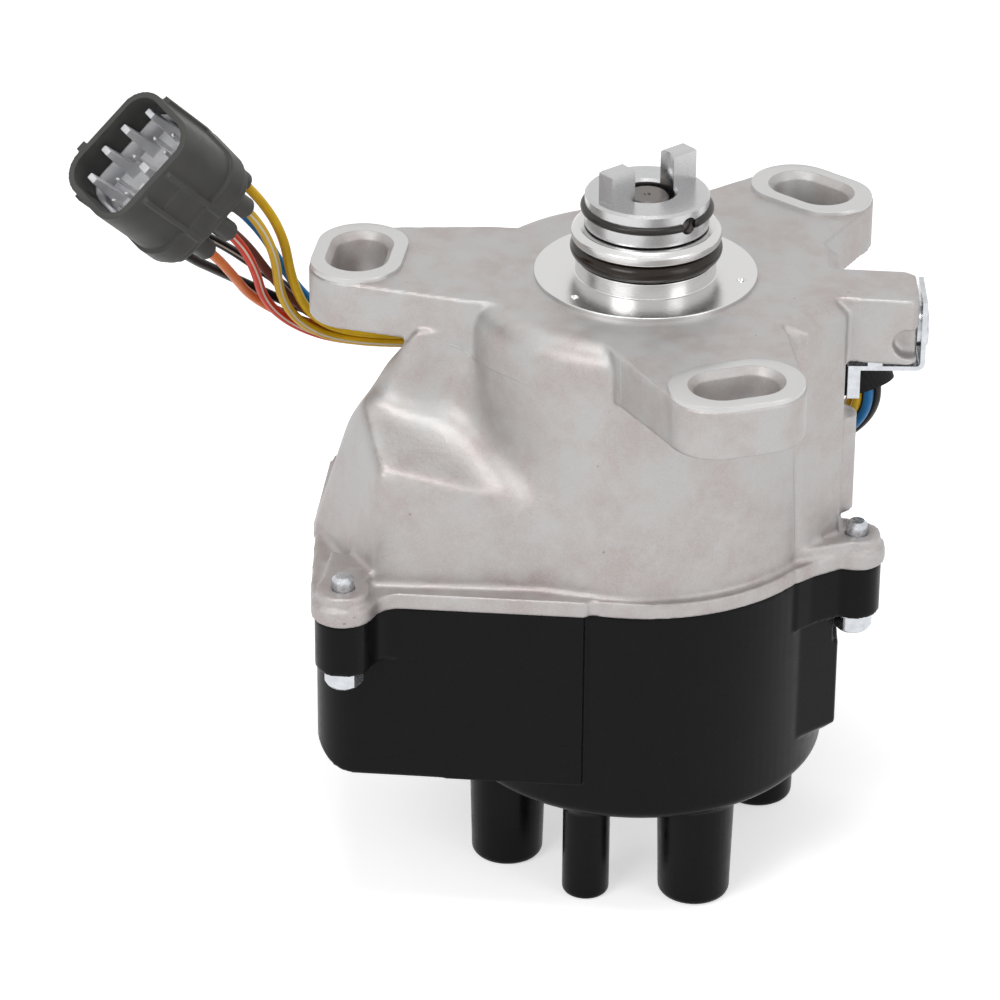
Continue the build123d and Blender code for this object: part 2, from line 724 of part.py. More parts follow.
def make_shaft():
    clip_low = WHEEL_HIGHS[-1] - WHEEL_THICK - 1.2
    shaft = turned(
        (0, SHAFT_TOP),
        (SHAFT_END_R - 0.6, SHAFT_TOP),
        (SHAFT_END_R, SHAFT_TOP - 0.6),
        (SHAFT_END_R, SPIGOT_TOP - 0.5),
        (SHAFT_R, SPIGOT_TOP - 1.0),
        (SHAFT_R, BEARING_LOW),
        (SPACER_R, BEARING_LOW),
        (SPACER_R, COLLAR_LOW),
        (CORE_R, COLLAR_LOW),
        (CORE_R, clip_low + 1.2),
        (CORE_R - 0.6, clip_low + 1.2),
        (CORE_R - 0.6, clip_low),
        (CORE_R, clip_low),
        (CORE_R, COVER_HIGH - COVER_THICK - 2),
        (ROTOR_SHAFT_R, COVER_HIGH - COVER_THICK - 3),
        (ROTOR_SHAFT_R, BLADE_LOW + BLADE_THICK + 1),
        (0, BLADE_LOW + BLADE_THICK + 1),
    )
    centre_mark = Pos(0, 0, SHAFT_TOP) * Cone(0.2, 1.4, 2.4)
    pin_hole = Rot(0, 0, DOG_ANGLE + 90) * Pos(0, 0, PIN_Z) * Rot(0, 90, 0) * Cylinder(PIN_R, 3 * SHAFT_R)
    flat = Rot(0, 0, ROTOR_ANGLE) * block((ROTOR_SHAFT_R - 1, 9), (-9, 9), (BLADE_LOW, ROTOR_HIGH + 1))
    return shaft - centre_mark - pin_hole - flat


def make_coupling():
    body = tube(COUPLING_R, COUPLING_BORE_R, COUPLING_LOW, COUPLING_HIGH)
    body = chamfer(body.edges().filter_by(GeomType.CIRCLE).group_by(Axis.Z)[-1], 0.6)
    body = body - tube(COUPLING_R + 2, RING_GROOVE_R, RING_LOW, RING_HIGH)
    length = (DOG_REACH - DOG_LENGTH / 2, DOG_REACH + DOG_LENGTH / 2)
    for side in (0, 180):
        dog = block(length, (-DOG_WIDTH / 2, DOG_WIDTH / 2), (COUPLING_HIGH - 1, DOG_TOP))
        dog = chamfer(dog.edges().group_by(Axis.Z)[-1], 0.5)
        body = body + Rot(0, 0, DOG_ANGLE + side) * dog
    body = body - rod(COUPLING_BORE_R, COUPLING_LOW - 1, DOG_TOP + 1)
    across = Rot(0, 0, DOG_ANGLE + 90) * Pos(0, 0, PIN_Z) * Rot(0, 90, 0)
    return body - across * Cylinder(PIN_R + PIN_GAP, 3 * COUPLING_R)


def make_coupling_pin():
    pin = chamfer(Cylinder(PIN_R, 2 * PIN_HALF).edges(), 0.4)
    return Rot(0, 0, DOG_ANGLE + 90) * Pos(0, 0, PIN_Z) * Rot(0, 90, 0) * pin


def make_coupling_ring():
    ring = tube(RING_R, RING_GROOVE_R, RING_LOW, RING_HIGH)
    gap = block((RING_GROOVE_R - 2, RING_R + 2), (-1.6, 1.6), (RING_LOW - 1, RING_HIGH + 1))
    return ring - Rot(0, 0, DOG_ANGLE - 90) * gap


def make_rotor():
    blade_high = BLADE_LOW + BLADE_THICK
    sleeve = rod(ROTOR_SLEEVE_R, blade_high, ROTOR_HIGH)
    arm = block((-13, BLADE_REACH - 2), (-6.5, 6.5), (blade_high, ROTOR_ARM_HIGH))
    arm = fillet(arm.edges().filter_by(Axis.Z), 3)
    disc = rod(13, blade_high, ROTOR_ARM_HIGH + 1.5)
    web = block((0, BLADE_REACH - 6), (-1.5, 1.5), (ROTOR_ARM_HIGH - 1, ROTOR_ARM_HIGH + 8))
    body = Rot(0, 0, ROTOR_ANGLE) * (sleeve + arm + disc + web)
    bore = rod(ROTOR_SHAFT_R, blade_high + 1, ROTOR_HIGH + 1)
    flat = Rot(0, 0, ROTOR_ANGLE) * block((ROTOR_SHAFT_R - 1, 9), (-9, 9), (BLADE_LOW, ROTOR_HIGH + 2))
    screw = rotor_screw_axis() * Pos(0, 0, -6) * Cylinder(1.5, 30)
    head = rotor_screw_axis() * Pos(0, 0, ROTOR_SLEEVE_R) * Cylinder(2.8, 3)
    return body - (bore - flat) - (screw & block((-30, 30), (-30, 30), (-86, -60))) - head


def rotor_screw_axis():
    """The rotor's screw comes in from the side with the flat."""
    x, y = polar(1, ROTOR_ANGLE)
    return Plane(origin=(0, 0, -75), x_dir=(0, 0, 1), z_dir=(x, y, 0))


def make_rotor_screw():
    start = ROTOR_SHAFT_R - 1
    shank = Pos(0, 0, (start + ROTOR_SLEEVE_R - 1.5) / 2) * Cylinder(1.5, ROTOR_SLEEVE_R - 1.5 - start)
    head = Pos(0, 0, ROTOR_SLEEVE_R - 0.5) * Cylinder(2.8, 2)
    slot = Pos(0, 0, ROTOR_SLEEVE_R + 0.4) * Box(3.4, 0.7, 1)
    return rotor_screw_axis() * (shank + head - slot)


def make_rotor_blade():
    strip = block((-3.5, BLADE_REACH), (-3.5, 3.5), (BLADE_LOW, BLADE_LOW + BLADE_THICK))
    tip = block((BLADE_REACH - 2, BLADE_REACH), (-3.5, 3.5), (BLADE_LOW, ROTOR_ARM_HIGH))
    return Rot(0, 0, ROTOR_ANGLE) * (strip + tip)


def make_cover():
    plate = tube(COVER_R, COVER_BORE_R, COVER_HIGH - COVER_THICK, COVER_HIGH)
    plate = plate + tube(COVER_BORE_R + 1.4, COVER_BORE_R, COVER_HIGH - COVER_THICK, COVER_HIGH + 2.5)
    for angle in COVER_SCREW_ANGLES:
        plate = plate - rod(1.6, COVER_HIGH - 4, COVER_HIGH + 1, polar(COVER_SCREW_R, angle))
    return plate


def make_cover_screws():
    seat = COVER_HIGH - COVER_THICK
    places = [polar(COVER_SCREW_R, angle) for angle in COVER_SCREW_ANGLES]
    return Compound([pan_screw(1.5, 3.0, seat, 8, place) for place in places])


# Ignition coil and module

def make_coil_core():
    front, back = COIL_Y[0] - CORE_GAP, COIL_Y[1] + CORE_GAP
    leg = block(CORE_X, (front - CORE_LEG, back + CORE_LEG), (CORE_Z[1] - 2 * CORE_LEG, CORE_Z[1]))
    base = block(CORE_X, (front - CORE_LEG, back + CORE_LEG), (CORE_Z[0], CORE_Z[0] + CORE_LEG))
    ends = [block(CORE_X, (front - CORE_LEG, front), CORE_Z), block(CORE_X, (back, back + CORE_LEG), CORE_Z)]
    return join([leg, base] + ends)


def make_coil_body():
    body = block(COIL_X, COIL_Y, COIL_Z)
    body = fillet(body.edges().filter_by(Axis.Z), 3)
    low = COIL_Z[1] - COIL_TAB_THICK
    for y, edge in zip(COIL_SCREW_YS, COIL_Y):
        tab = rod(4.6, low, COIL_Z[1], (COIL_SCREW_X, y))
        tab = tab + block((COIL_SCREW_X - 4.6, COIL_SCREW_X + 4.6), (y, edge), (low, COIL_Z[1]))
        body = body + tab - rod(2.1, low - 9, COIL_Z[1] + 1, (COIL_SCREW_X, y))
    tower = rod(4.5, COIL_Z[0] - 8, COIL_Z[0] + 2, (COIL_X[1] - 4.5, 0))
    tower = tower & block((CORE_X[1], 0), (-9, 9), (-120, -80))
    window = block(CORE_X, (COIL_Y[0] - 1, COIL_Y[1] + 1), (CORE_Z[1] - 2 * CORE_LEG, CORE_Z[1]))
    return body + tower - window - rod(2, -120, COIL_Z[0] + 1, (HT_X, 0))


def make_coil_contact():
    """Brass rod that carries the coil's high tension to the strip in the cap."""
    return rod(2, STRIP_HIGH, COIL_Z[0] + 1, (HT_X, 0))


def make_coil_screws():
    seat = COIL_Z[1] - COIL_TAB_THICK
    return Compound([pan_screw(2.0, 3.8, seat, 12, (COIL_SCREW_X, y), 2.6) for y in COIL_SCREW_YS])


def make_coil_terminals():
    """Two studs with nuts on top of the coil, for its primary winding."""
    studs = []
    for y in (-9, 9):
        stud = rod(1.9, COIL_Z[1], COIL_Z[1] + 7, (COIL_X[1] - 5, y))
        nut = Pos(COIL_X[1] - 5, y, COIL_Z[1]) * extrude(RegularPolygon(3.6, 6), 2.6)
        studs.append(stud + nut)
    return Compound(studs)


def make_module_plate():
    height = (MODULE_HIGH - MODULE_PLATE, MODULE_HIGH)
    plate = block((-58.6, -46.4), (-14, 11), height)
    plate = plate + block((MODULE_SCREW_XS[0] - 2.5, -58), (-5, 1), height)
    for x in MODULE_SCREW_XS:
        plate = plate - rod(1.5, height[0] - 1, height[1] + 1, (x, -2))
    return plate


def make_module():
    high = MODULE_HIGH - MODULE_PLATE
    body = block((-56.8, -51.4), (-13, 10), (high - MODULE_THICK, high))
    body = fillet(body.edges().group_by(Axis.Z)[0], 1)
    blades = []
    for count in range(3):
        left = -56.2 + 1.8 * count
        blades.append(block((left, left + 0.8), (10, 14), (high - 4.5, high - 2)))
    return join([body] + blades)


def make_module_screws():
    seat = MODULE_HIGH - MODULE_PLATE
    return Compound([pan_screw(1.25, 2.4, seat, 7, (x, -2)) for x in MODULE_SCREW_XS])


# Cap

def joint_face(inset):
    """Outline of the hollow cap at the joint, drawn in by the inset."""
    box = polygon(
        (BOX_LEFT + inset, BOX_FRONT_LEFT + inset),
        (SEAM_X - inset, BOX_FRONT_RIGHT + inset),
        (SEAM_X - inset, BOX_BACK + 8 - inset),
        (BOX_LEFT + BOX_SLANT + inset, BOX_BACK - inset),
        (BOX_LEFT + inset, 0),
    )
    box = round_near(box, 11 - inset, (BOX_LEFT, BOX_BACK))
    side = polygon(
        (20, -26),
        (36 - inset, -27 + inset),
        (CAP_FLAT_X - inset, -18),
        (CAP_FLAT_X - inset, 19),
        (38 - inset, 23 - inset),
        (20, 25 - inset),
    )
    return Circle(CAP_R - inset) + box + side


def make_cap_seal():
    return slab(joint_face(SEAL_INSET) - joint_face(SEAL_INSET + SEAL_WIDE), JOINT_Z, JOINT_Z + SEAL_THICK)


def seal_groove():
    """Groove in the housing's rim that the cap seal lies in."""
    outer = joint_face(SEAL_INSET - 0.1)
    inner = joint_face(SEAL_INSET + SEAL_WIDE + 0.1)
    return slab(outer - inner, JOINT_Z - 1, JOINT_Z + SEAL_THICK)


def make_cap():
    body = slab(cap_face(), CAP_LUG_LOW, JOINT_Z)
    box_plan = round_near(box_face(), 11, (BOX_LEFT, BOX_BACK), (BOX_LEFT, BOX_FRONT_LEFT))
    box = slab(box_plan, BOX_FLOOR, JOINT_Z - 1)
    left, right = BOX_LEFT - 1, SEAM_X + 1
    side = polygon((left, JOINT_Z), (right, JOINT_Z), (right, BOX_FLOOR), (left, BOX_FLOOR))
    side = round_near(side, 9, (BOX_LEFT, BOX_FLOOR))
    box = box & extrude(Plane.XZ * side, 60, both=True)
    drum = rod(CAP_R, CAP_FLOOR, JOINT_Z - 1)
    drum = fillet(drum.edges().group_by(Axis.Z)[0], 3)
    flat = slab(flat_side_face(CAP_FLAT_X, -16.5, 17), BOX_FLOOR - 1, JOINT_Z - 1)
    flat = chamfer(flat.edges().group_by(Axis.Z)[0].sort_by(Axis.X)[-3:], 2.5)
    body = body + box + drum + flat
    for angle in TOWER_ANGLES:
        x, y = polar(TOWER_REACH, angle)
        height = CAP_FLOOR + 1 - TOWER_END
        tower = Cone(TOWER_END_R, TOWER_ROOT_R, height)
        tower = fillet(tower.edges().filter_by(GeomType.CIRCLE).sort_by(Axis.Z)[0], 1.6)
        body = body + Pos(x, y, TOWER_END + height / 2) * tower
    x, y = polar(TOWER_REACH, VENT_ANGLE)
    vent = rod(VENT_R, TOWER_END, CAP_FLOOR + 1, (x, y))
    vent = fillet(vent.edges().group_by(Axis.Z)[0], 1.2)
    body = body + vent + Pos(x, y, CAP_FLOOR - 1.5) * Cone(VENT_R, VENT_R + 1.6, 3)

    drum_room = rod(CAP_R - CAP_WALL, CAP_FLOOR + CAP_WALL, JOINT_Z + 1)
    box_room = slab(offset(box_plan, -CAP_WALL), BOX_FLOOR + CAP_WALL, JOINT_Z + 1)
    body = body - drum_room - (box_room - rod(CAP_R, CAP_FLOOR, JOINT_Z + 2))
    holder = rod(BRUSH_HOLDER_R, CAP_FLOOR + 1, BRUSH_HOLDER_HIGH)
    rib = block((-CAP_R + 1, 0), (-4, 4), (CAP_FLOOR + 1, STRIP_HIGH))
    body = body + holder + rib + block((HT_X - 4, -CAP_R + 1), (-4, 4), (BOX_FLOOR + 1, STRIP_HIGH))
    for angle in TOWER_ANGLES:
        at = polar(TOWER_REACH, angle)
        body = body + rod(5.5, CAP_FLOOR + 1, -102, at)
    cuts = []
    for angle in TOWER_ANGLES:
        at = polar(TOWER_REACH, angle)
        cuts.append(rod(SOCKET_R, TOWER_END - 1, TOWER_END + SOCKET_DEPTH, at))
        cuts.append(rod(2.4, TOWER_END, -100, at))
    cuts.append(rod(VENT_BORE_R, TOWER_END - 1, CAP_FLOOR + 8, (x, y)))
    cuts.append(rod(BRUSH_R + BRUSH_GAP, STRIP_HIGH, BRUSH_HOLDER_HIGH + 1))
    cuts.append(make_strip())
    cuts.append(block((-CAP_R - 1, -CAP_R + CAP_WALL + 1), (-3, 3), (STRIP_HIGH - 0.1, STRIP_HIGH + 4)))
    for lug_x, lug_y, _ in CAP_LUGS:
        cuts.append(rod(SCREW_R + 0.2, CAP_LUG_LOW - 1, JOINT_Z + 1, (lug_x, lug_y)))
        cuts.append(rod(SCREW_FLANGE_R + 0.6, CAP_LUG_LOW - 8, CAP_LUG_LOW, (lug_x, lug_y)))
    return body - join(cuts)


def make_strip():
    low = STRIP_HIGH - STRIP_THICK
    return block((HT_X - 3, BRUSH_R), (-STRIP_HALF, STRIP_HALF), (low, STRIP_HIGH))


def make_electrodes():
    """Brass posts that carry each spark from the rotor's path to a lead socket."""
    posts = []
    for angle in TOWER_ANGLES:
        post = rod(2.4, TOWER_END + SOCKET_DEPTH, -88, (TOWER_REACH, 0))
        face = block((BLADE_REACH + SPARK_GAP, TOWER_REACH), (-2.4, 2.4), (-99, -88))
        face = face - rod(BLADE_REACH + SPARK_GAP, -100, -80)
        posts.append(Rot(0, 0, angle) * (post + face))
    return Compound(posts)


def brush_low():
    return BLADE_LOW - 0.05 - BRUSH_LENGTH


def make_brush():
    low = brush_low()
    return rod(BRUSH_R, low, low + BRUSH_LENGTH)


def make_brush_spring():
    """Coil spring under the brush, drawn as a plain sleeve of the spring's outer size."""
    return tube(BRUSH_R - 0.2, BRUSH_R - 0.9, STRIP_HIGH, brush_low() - 0.02)


def make_cap_screws():
    screws = []
    for x, y, _ in CAP_LUGS:
        shank = rod(SCREW_R, CAP_LUG_LOW, SCREW_TIP, (x, y))
        shank = chamfer(shank.edges().group_by(Axis.Z)[-1], 0.8)
        flange = rod(SCREW_FLANGE_R, CAP_LUG_LOW - SCREW_FLANGE, CAP_LUG_LOW, (x, y))
        low = CAP_LUG_LOW - SCREW_FLANGE - SCREW_HEAD
        hexagon = extrude(RegularPolygon(SCREW_HEX / 2, 6, major_radius=False), SCREW_HEAD)
        dome = Cylinder(SCREW_HEX / 2 + 0.45, 2 * SCREW_HEAD)
        dome = chamfer(dome.edges().group_by(Axis.Z)[0], 0.9)
        head = Pos(x, y, low) * (hexagon & (Pos(0, 0, SCREW_HEAD) * dome))
        screws.append(shank + flange + head)
    return Compound(screws)


# Bracket on the lug

def make_bracket():
    """Bent plate that holds the harness connector on the car."""
    inner = LUG_END + BRACKET_GAP
    outer = inner + BRACKET_THICK
    low = LUG_LOW - BRACKET_DROP
    left = LUG_END - BRACKET_FOOT
    front = LUG_FRONT + 3.5
    profile = polygon(
        (left, low),
        (outer, low),
        (outer, BRACKET_TOP),
        (inner, BRACKET_TOP),
        (inner, low + BRACKET_THICK),
        (left, low + BRACKET_THICK),
    )
    profile = round_near(profile, BRACKET_THICK + 0.9, (outer, low))
    profile = round_near(profile, 0.9, (inner, low + BRACKET_THICK))
    rear = Plane(origin=(0, LUG_BACK, 0), x_dir=(1, 0, 0), z_dir=(0, -1, 0))
    body = extrude(rear * profile, LUG_BACK - front)
    body = body - block((left - 1, inner - 2), (front + 8.5, LUG_BACK + 1), (low - 1, low + 4))
    prong = block((left, left + PRONG_WIDE), (front, front + BRACKET_THICK), (low - PRONG_DROP, low + 0.5))
    tab = block((left + 4.4, left + 7.8), (front, front + BRACKET_THICK), (low + 0.5, LUG_LOW - 0.2))
    hole = Pos(inner, BRACKET_BOLT_Y, BRACKET_BOLT_Z) * Rot(0, 90, 0) * Cylinder(2.6, 8)
    return body + prong + tab - hole


def make_bracket_spacer():
    middle = LUG_END + BRACKET_GAP / 2
    ring = Cylinder(4.6, BRACKET_GAP) - Cylinder(2.6, 2 * BRACKET_GAP)
    return Pos(middle, BRACKET_BOLT_Y, BRACKET_BOLT_Z) * Rot(0, 90, 0) * ring


def make_bracket_screw():
    """Screw with a thin head that lies against the bracket."""
    seat = LUG_END + BRACKET_GAP + BRACKET_THICK
    shank = Cylinder(2.5, seat - LUG_END + 9)
    head = fillet(Cylinder(4.4, 0.7).edges().group_by(Axis.Z)[-1], 0.4)
    shank_place = Pos((seat + LUG_END - 9) / 2, BRACKET_BOLT_Y, BRACKET_BOLT_Z) * Rot(0, 90, 0)
    head_place = Pos(seat + 0.35, BRACKET_BOLT_Y, BRACKET_BOLT_Z) * Rot(0, 90, 0)
    return shank_place * shank + head_place * head


# Harness

def wire_slot(index, spread, twist):
    """Offset of a wire from the bundle's centre, along the connector's two axes."""
    angle = math.radians(WIRE_TURN + 360 * index / 7)
    ring = WIRE_RING_R if index < 7 else 0
    near = (ring * math.cos(angle), ring * math.sin(angle))
    far = PORTS[index]
    x = far[0] * spread + near[0] * (1 - spread)
    y = far[1] * spread + near[1] * (1 - spread)
    turn = math.radians(twist)
    return x * math.cos(turn) - y * math.sin(turn), x * math.sin(turn) + y * math.cos(turn)


def harness_centre():
    """Corners of the harness's centre line, each with its spread and twist."""
    start = CONNECTOR.origin
    corners = [(start + CONNECTOR.z_dir * reach, 1, 0) for reach in (PORT_END - 6, PORT_END + 4.5)]
    for place, spread in FAN:
        corners.append((Vector(*place), spread, WIRE_TWIST * (1 - spread)))
    for place in BUNDLE:
        corners.append((Vector(*place), 0, WIRE_TWIST))
    for reach in (OUTLET_REACH + 3.2, OUTLET_REACH - 12.2):
        x, y = polar(reach, OUTLET_ANGLE)
        corners.append((Vector(x, y, OUTLET_Z), 0, WIRE_TWIST))
    return corners


def bend_radii(points):
    """Largest fair radius at each inner corner."""
    radii = []
    for before, here, after in zip(points, points[1:], points[2:]):
        first, second = here - before, after - here
        half_turn = math.radians(first.get_angle(second)) / 2
        radii.append(0.45 * min(first.length, second.length) / math.tan(half_turn))
    return radii


def wire_route(index):
    """Corners and bend radii of one wire, kept parallel to its neighbours in the bundle."""
    corners = harness_centre()
    centres = [corner[0] for corner in corners]
    fair = bend_radii(centres)
    side = CONNECTOR.x_dir
    along = (centres[1] - centres[0]).normalized()
    points, parallel = [], []
    for step, (centre, spread, twist) in enumerate(corners):
        x, y = wire_slot(index, spread, twist)
        shift = side * x + along.cross(side) * y
        if step in (0, len(corners) - 1):
            points.append(centre + shift)
            continue
        ahead = (centres[step + 1] - centre).normalized()
        axis = along.cross(ahead).normalized()
        inward, inward_ahead = axis.cross(along), axis.cross(ahead)
        depth = shift.dot(inward)
        mitre = (inward + inward_ahead) * (depth / (1 + inward.dot(inward_ahead)))
        points.append(centre + axis * shift.dot(axis) + mitre)
        parallel.append(fair[step - 1] - depth if spread == 0 else None)
        side = axis * side.dot(axis) + inward_ahead * side.dot(inward) + ahead * side.dot(along)
        along = ahead
    own = bend_radii(points)
    radii = [mine if kept is None else min(mine, kept) for mine, kept in zip(own, parallel)]
    return points, radii


def swept(points, radii, *rings):
    """A round rod along the corners, hollow when a second radius is given."""
    path = FilletPolyline(*points, radius=radii)
    section = Circle(rings[0])
    if len(rings) > 1:
        section = section - Circle(rings[1])
    start = Plane(origin=path @ 0, z_dir=path % 0)
    return sweep(start * section, path=path)


def make_wire(index):
    points, radii = wire_route(index)
    print(WIRE_NAMES[index], "bend radii", [round(radius, 1) for radius in radii])
    return swept(points, radii, WIRE_R)


def make_sleeve():
    """Woven sleeve around the wires, from the rear left round to the loop."""
    centres = [corner[0] for corner in harness_centre()]
    radii = bend_radii(centres)
    first = len(centres) - len(BUNDLE) - 1
    last = len(centres) - 5
    start = (centres[first - 1] + centres[first]) * 0.5
    end = (centres[last] + centres[last + 1]) * 0.5
    return swept([start] + centres[first:last + 1] + [end], radii[first - 1:last], SLEEVE_R, SLEEVE_BORE_R)


def make_grommet():
    """Rubber bush that seals the wires into the housing."""
    inside = WIRE_RING_R + WIRE_R + 0.45
    bush = Pos(0, 0, -2.5) * (Cylinder(OUTLET_R, 6) - Cylinder(inside, 9))
    lip = Pos(0, 0, 0.6) * (Cylinder(OUTLET_R + 1.2, 1.2) - Cylinder(inside, 3))
    return wire_outlet() * (bush + lip)


# Connector

def shell_face(grow=0.0):
    return RectangleRounded(SHELL_LONG + 2 * grow, SHELL_WIDE + 2 * grow, SHELL_ROUND + grow)


def make_connector_shell():
    body = extrude(shell_face(), SHELL_DEEP)
    body = body + Pos(0, 0, SHELL_DEEP - 4) * extrude(shell_face(-0.6), 5)
    body = body + Pos(0, 0, 20) * extrude(shell_face(0.8), 6)
    half_long, half_wide = SHELL_LONG / 2, SHELL_WIDE / 2
    for a in (3.4, -4.2):
        body = body + block((a - 0.7, a + 0.7), (half_wide - 1, half_wide + 1.1), (1.5, 26))
    body = body + block((-4.2, 3.4), (half_wide - 1, half_wide + 0.3), (9, SHELL_DEEP))
    for side in (-1, 1):
        rail = block((side * (half_long - 2), side * (half_long + 1.0)), (-5.5, -3.5), (3, 22))
        body = body + rail
    body = body + block((-7.4, -4.9), (-half_wide - 1.3, -half_wide + 1), (0.2, 3.0))
    length = PORT_END - SHELL_DEEP + 1
    ports = [Pos(a, b, PORT_END - length / 2) * Cylinder(PORT_R, length) for a, b in PORTS]
    web = extrude(Pos(0, 1.4) * RectangleRounded(17.5, 9.5, 3), PORT_END - 2)
    body = join([body, web] + ports)
    room = Pos(0, 0, -1) * extrude(shell_face(-SHELL_WALL), SHELL_FLOOR + 1)
    bores = [Pos(a, b, PORT_END) * Cylinder(WIRE_R + 0.08, 2 * (PORT_END - 29)) for a, b in PORTS]
    return CONNECTOR * (body - join([room] + bores))


def make_connector_insert():
    """Floor of the connector with its guide pegs."""
    floor = Pos(0, 0, INSERT_FLOOR) * extrude(shell_face(-SHELL_WALL - 0.02), SHELL_FLOOR - INSERT_FLOOR)
    pieces = [floor]
    for a, b in PEGS:
        peg = loft([Pos(a, b, 2.5) * Rectangle(1.5, 2.4), Pos(a, b, INSERT_FLOOR + 0.5) * Rectangle(3.0, 3.4)])
        pieces.append(peg)
    for a, b in SHORT_PEGS:
        peg = loft([Pos(a, b, 7.5) * Rectangle(1.8, 2.6), Pos(a, b, INSERT_FLOOR + 0.5) * Rectangle(2.8, 3.4)])
        pieces.append(peg)
    holes = [Pos(a, b, INSERT_FLOOR + 2) * Cylinder(0.5, 8) for a, b in PINS]
    return CONNECTOR * (join(pieces) - join(holes))


def make_connector_terminals():
    pins = []
    for a, b in PINS:
        pin = chamfer(Cylinder(0.5, 12).edges().group_by(Axis.Z)[0], 0.2)
        pins.append(CONNECTOR * (Pos(a, b, 12) * pin))
    return Compound(pins)


# Write one file for each piece

def pieces():
    made = {
        "housing": make_housing(),
        "spigot_o_ring": make_o_ring(),
        "shaft_oil_seal": make_oil_seal(),
        "nose_bush": make_bush(),
        "bearing_outer_ring": make_bearing_outer(),
        "bearing_inner_ring": make_bearing_inner(),
        "bearing_balls": make_balls(),
        "bearing_cage": make_cage(),
        "bearing_retainer": make_retainer(),
        "retainer_screws": make_retainer_screws(),
        "sensor_plate": make_sensor_plate(),
        "sensor_plate_screws": make_plate_screws(),
        "wheel_spacers": make_spacers(),
        "wheel_clip": make_wheel_clip(),
        "drive_shaft": make_shaft(),
        "coupling": make_coupling(),
        "coupling_pin": make_coupling_pin(),
        "coupling_ring": make_coupling_ring(),
        "rotor": make_rotor(),
        "rotor_screw": make_rotor_screw(),
        "rotor_blade": make_rotor_blade(),
        "leak_cover": make_cover(),
        "leak_cover_screws": make_cover_screws(),
        "coil_core": make_coil_core(),
        "coil_body": make_coil_body(),
        "coil_contact": make_coil_contact(),
        "coil_screws": make_coil_screws(),
        "coil_terminals": make_coil_terminals(),
        "module_plate": make_module_plate(),
        "ignition_module": make_module(),
        "module_screws": make_module_screws(),
        "distributor_cap": make_cap(),
        "cap_contact_strip": make_strip(),
        "cap_electrodes": make_electrodes(),
        "carbon_brush": make_brush(),
        "brush_spring": make_brush_spring(),
        "cap_screws": make_cap_screws(),
        "connector_bracket": make_bracket(),
        "bracket_spacer": make_bracket_spacer(),
        "bracket_screw": make_bracket_screw(),
        "cap_seal": make_cap_seal(),
        "wire_grommet": make_grommet(),
        "harness_sleeve": make_sleeve(),
        "connector_shell": make_connector_shell(),
        "connector_insert": make_connector_insert(),
        "connector_terminals": make_connector_terminals(),
    }
    for index in range(len(WHEEL_NAMES)):
        made[WHEEL_NAMES[index]] = make_wheel(index)
        made[PICKUP_NAMES[index]] = make_pickup(index)
    for index in range(len(WIRE_NAMES)):
        made[WIRE_NAMES[index]] = make_wire(index)
    return made


os.makedirs("parts", exist_ok=True)
for name, shape in pieces().items():
    export_step(shape, f"parts/{name}.step")
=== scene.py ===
import json
import math

import bpy
import bmesh
import numpy as np
from mathutils import Matrix, Vector
from mathutils.bvhtree import BVHTree


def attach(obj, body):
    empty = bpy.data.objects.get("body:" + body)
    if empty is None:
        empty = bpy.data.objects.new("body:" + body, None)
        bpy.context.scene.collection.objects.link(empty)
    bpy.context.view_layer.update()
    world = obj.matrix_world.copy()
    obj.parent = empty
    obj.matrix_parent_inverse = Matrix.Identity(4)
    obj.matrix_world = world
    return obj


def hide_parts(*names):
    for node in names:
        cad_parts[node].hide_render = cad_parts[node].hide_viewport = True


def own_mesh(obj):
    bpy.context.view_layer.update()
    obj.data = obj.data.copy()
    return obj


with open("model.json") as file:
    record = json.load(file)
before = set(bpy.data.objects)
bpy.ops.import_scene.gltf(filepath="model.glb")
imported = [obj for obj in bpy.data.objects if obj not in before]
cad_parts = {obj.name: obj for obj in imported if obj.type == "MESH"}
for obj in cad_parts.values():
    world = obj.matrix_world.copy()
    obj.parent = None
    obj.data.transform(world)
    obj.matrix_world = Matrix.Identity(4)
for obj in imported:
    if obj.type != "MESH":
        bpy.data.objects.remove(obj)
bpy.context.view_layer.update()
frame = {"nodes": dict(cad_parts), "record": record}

MM = 0.001
ROOT = "housing_body"

# Camera, solved from the photograph
CAMERA_PLACE = Vector((-0.03304, -0.99320, 0.47392))
CAMERA_RIGHT = Vector((0.99997184, 0.00355565, 0.00660909))
CAMERA_UP = Vector((-0.00750485, 0.47376749, 0.88061799))
FOCAL_PIXELS = 4789.2
PICTURE = 1000
SENSOR = 36.0

# The floor under the four lead towers, and how much its white is lifted where it is seen
FLOOR_Z = -0.1484
FLOOR_HALF = 4.0
FLOOR_GLOW = 0.58

# Light of the white surroundings on the part, and the lamps: place, target, size and power
WORLD_LIGHT = 0.36
LAMPS = (
    ("key", (-0.75, -0.9, 0.75), (0, 0, -0.04), (0.7, 0.5), 5),
    ("fill", (0.9, -0.7, 0.4), (0, 0, -0.05), (0.5, 0.8), 2.2),
    ("top", (-0.05, -0.12, 1.1), (-0.02, -0.02, -0.03), (0.55, 0.3), 4),
)

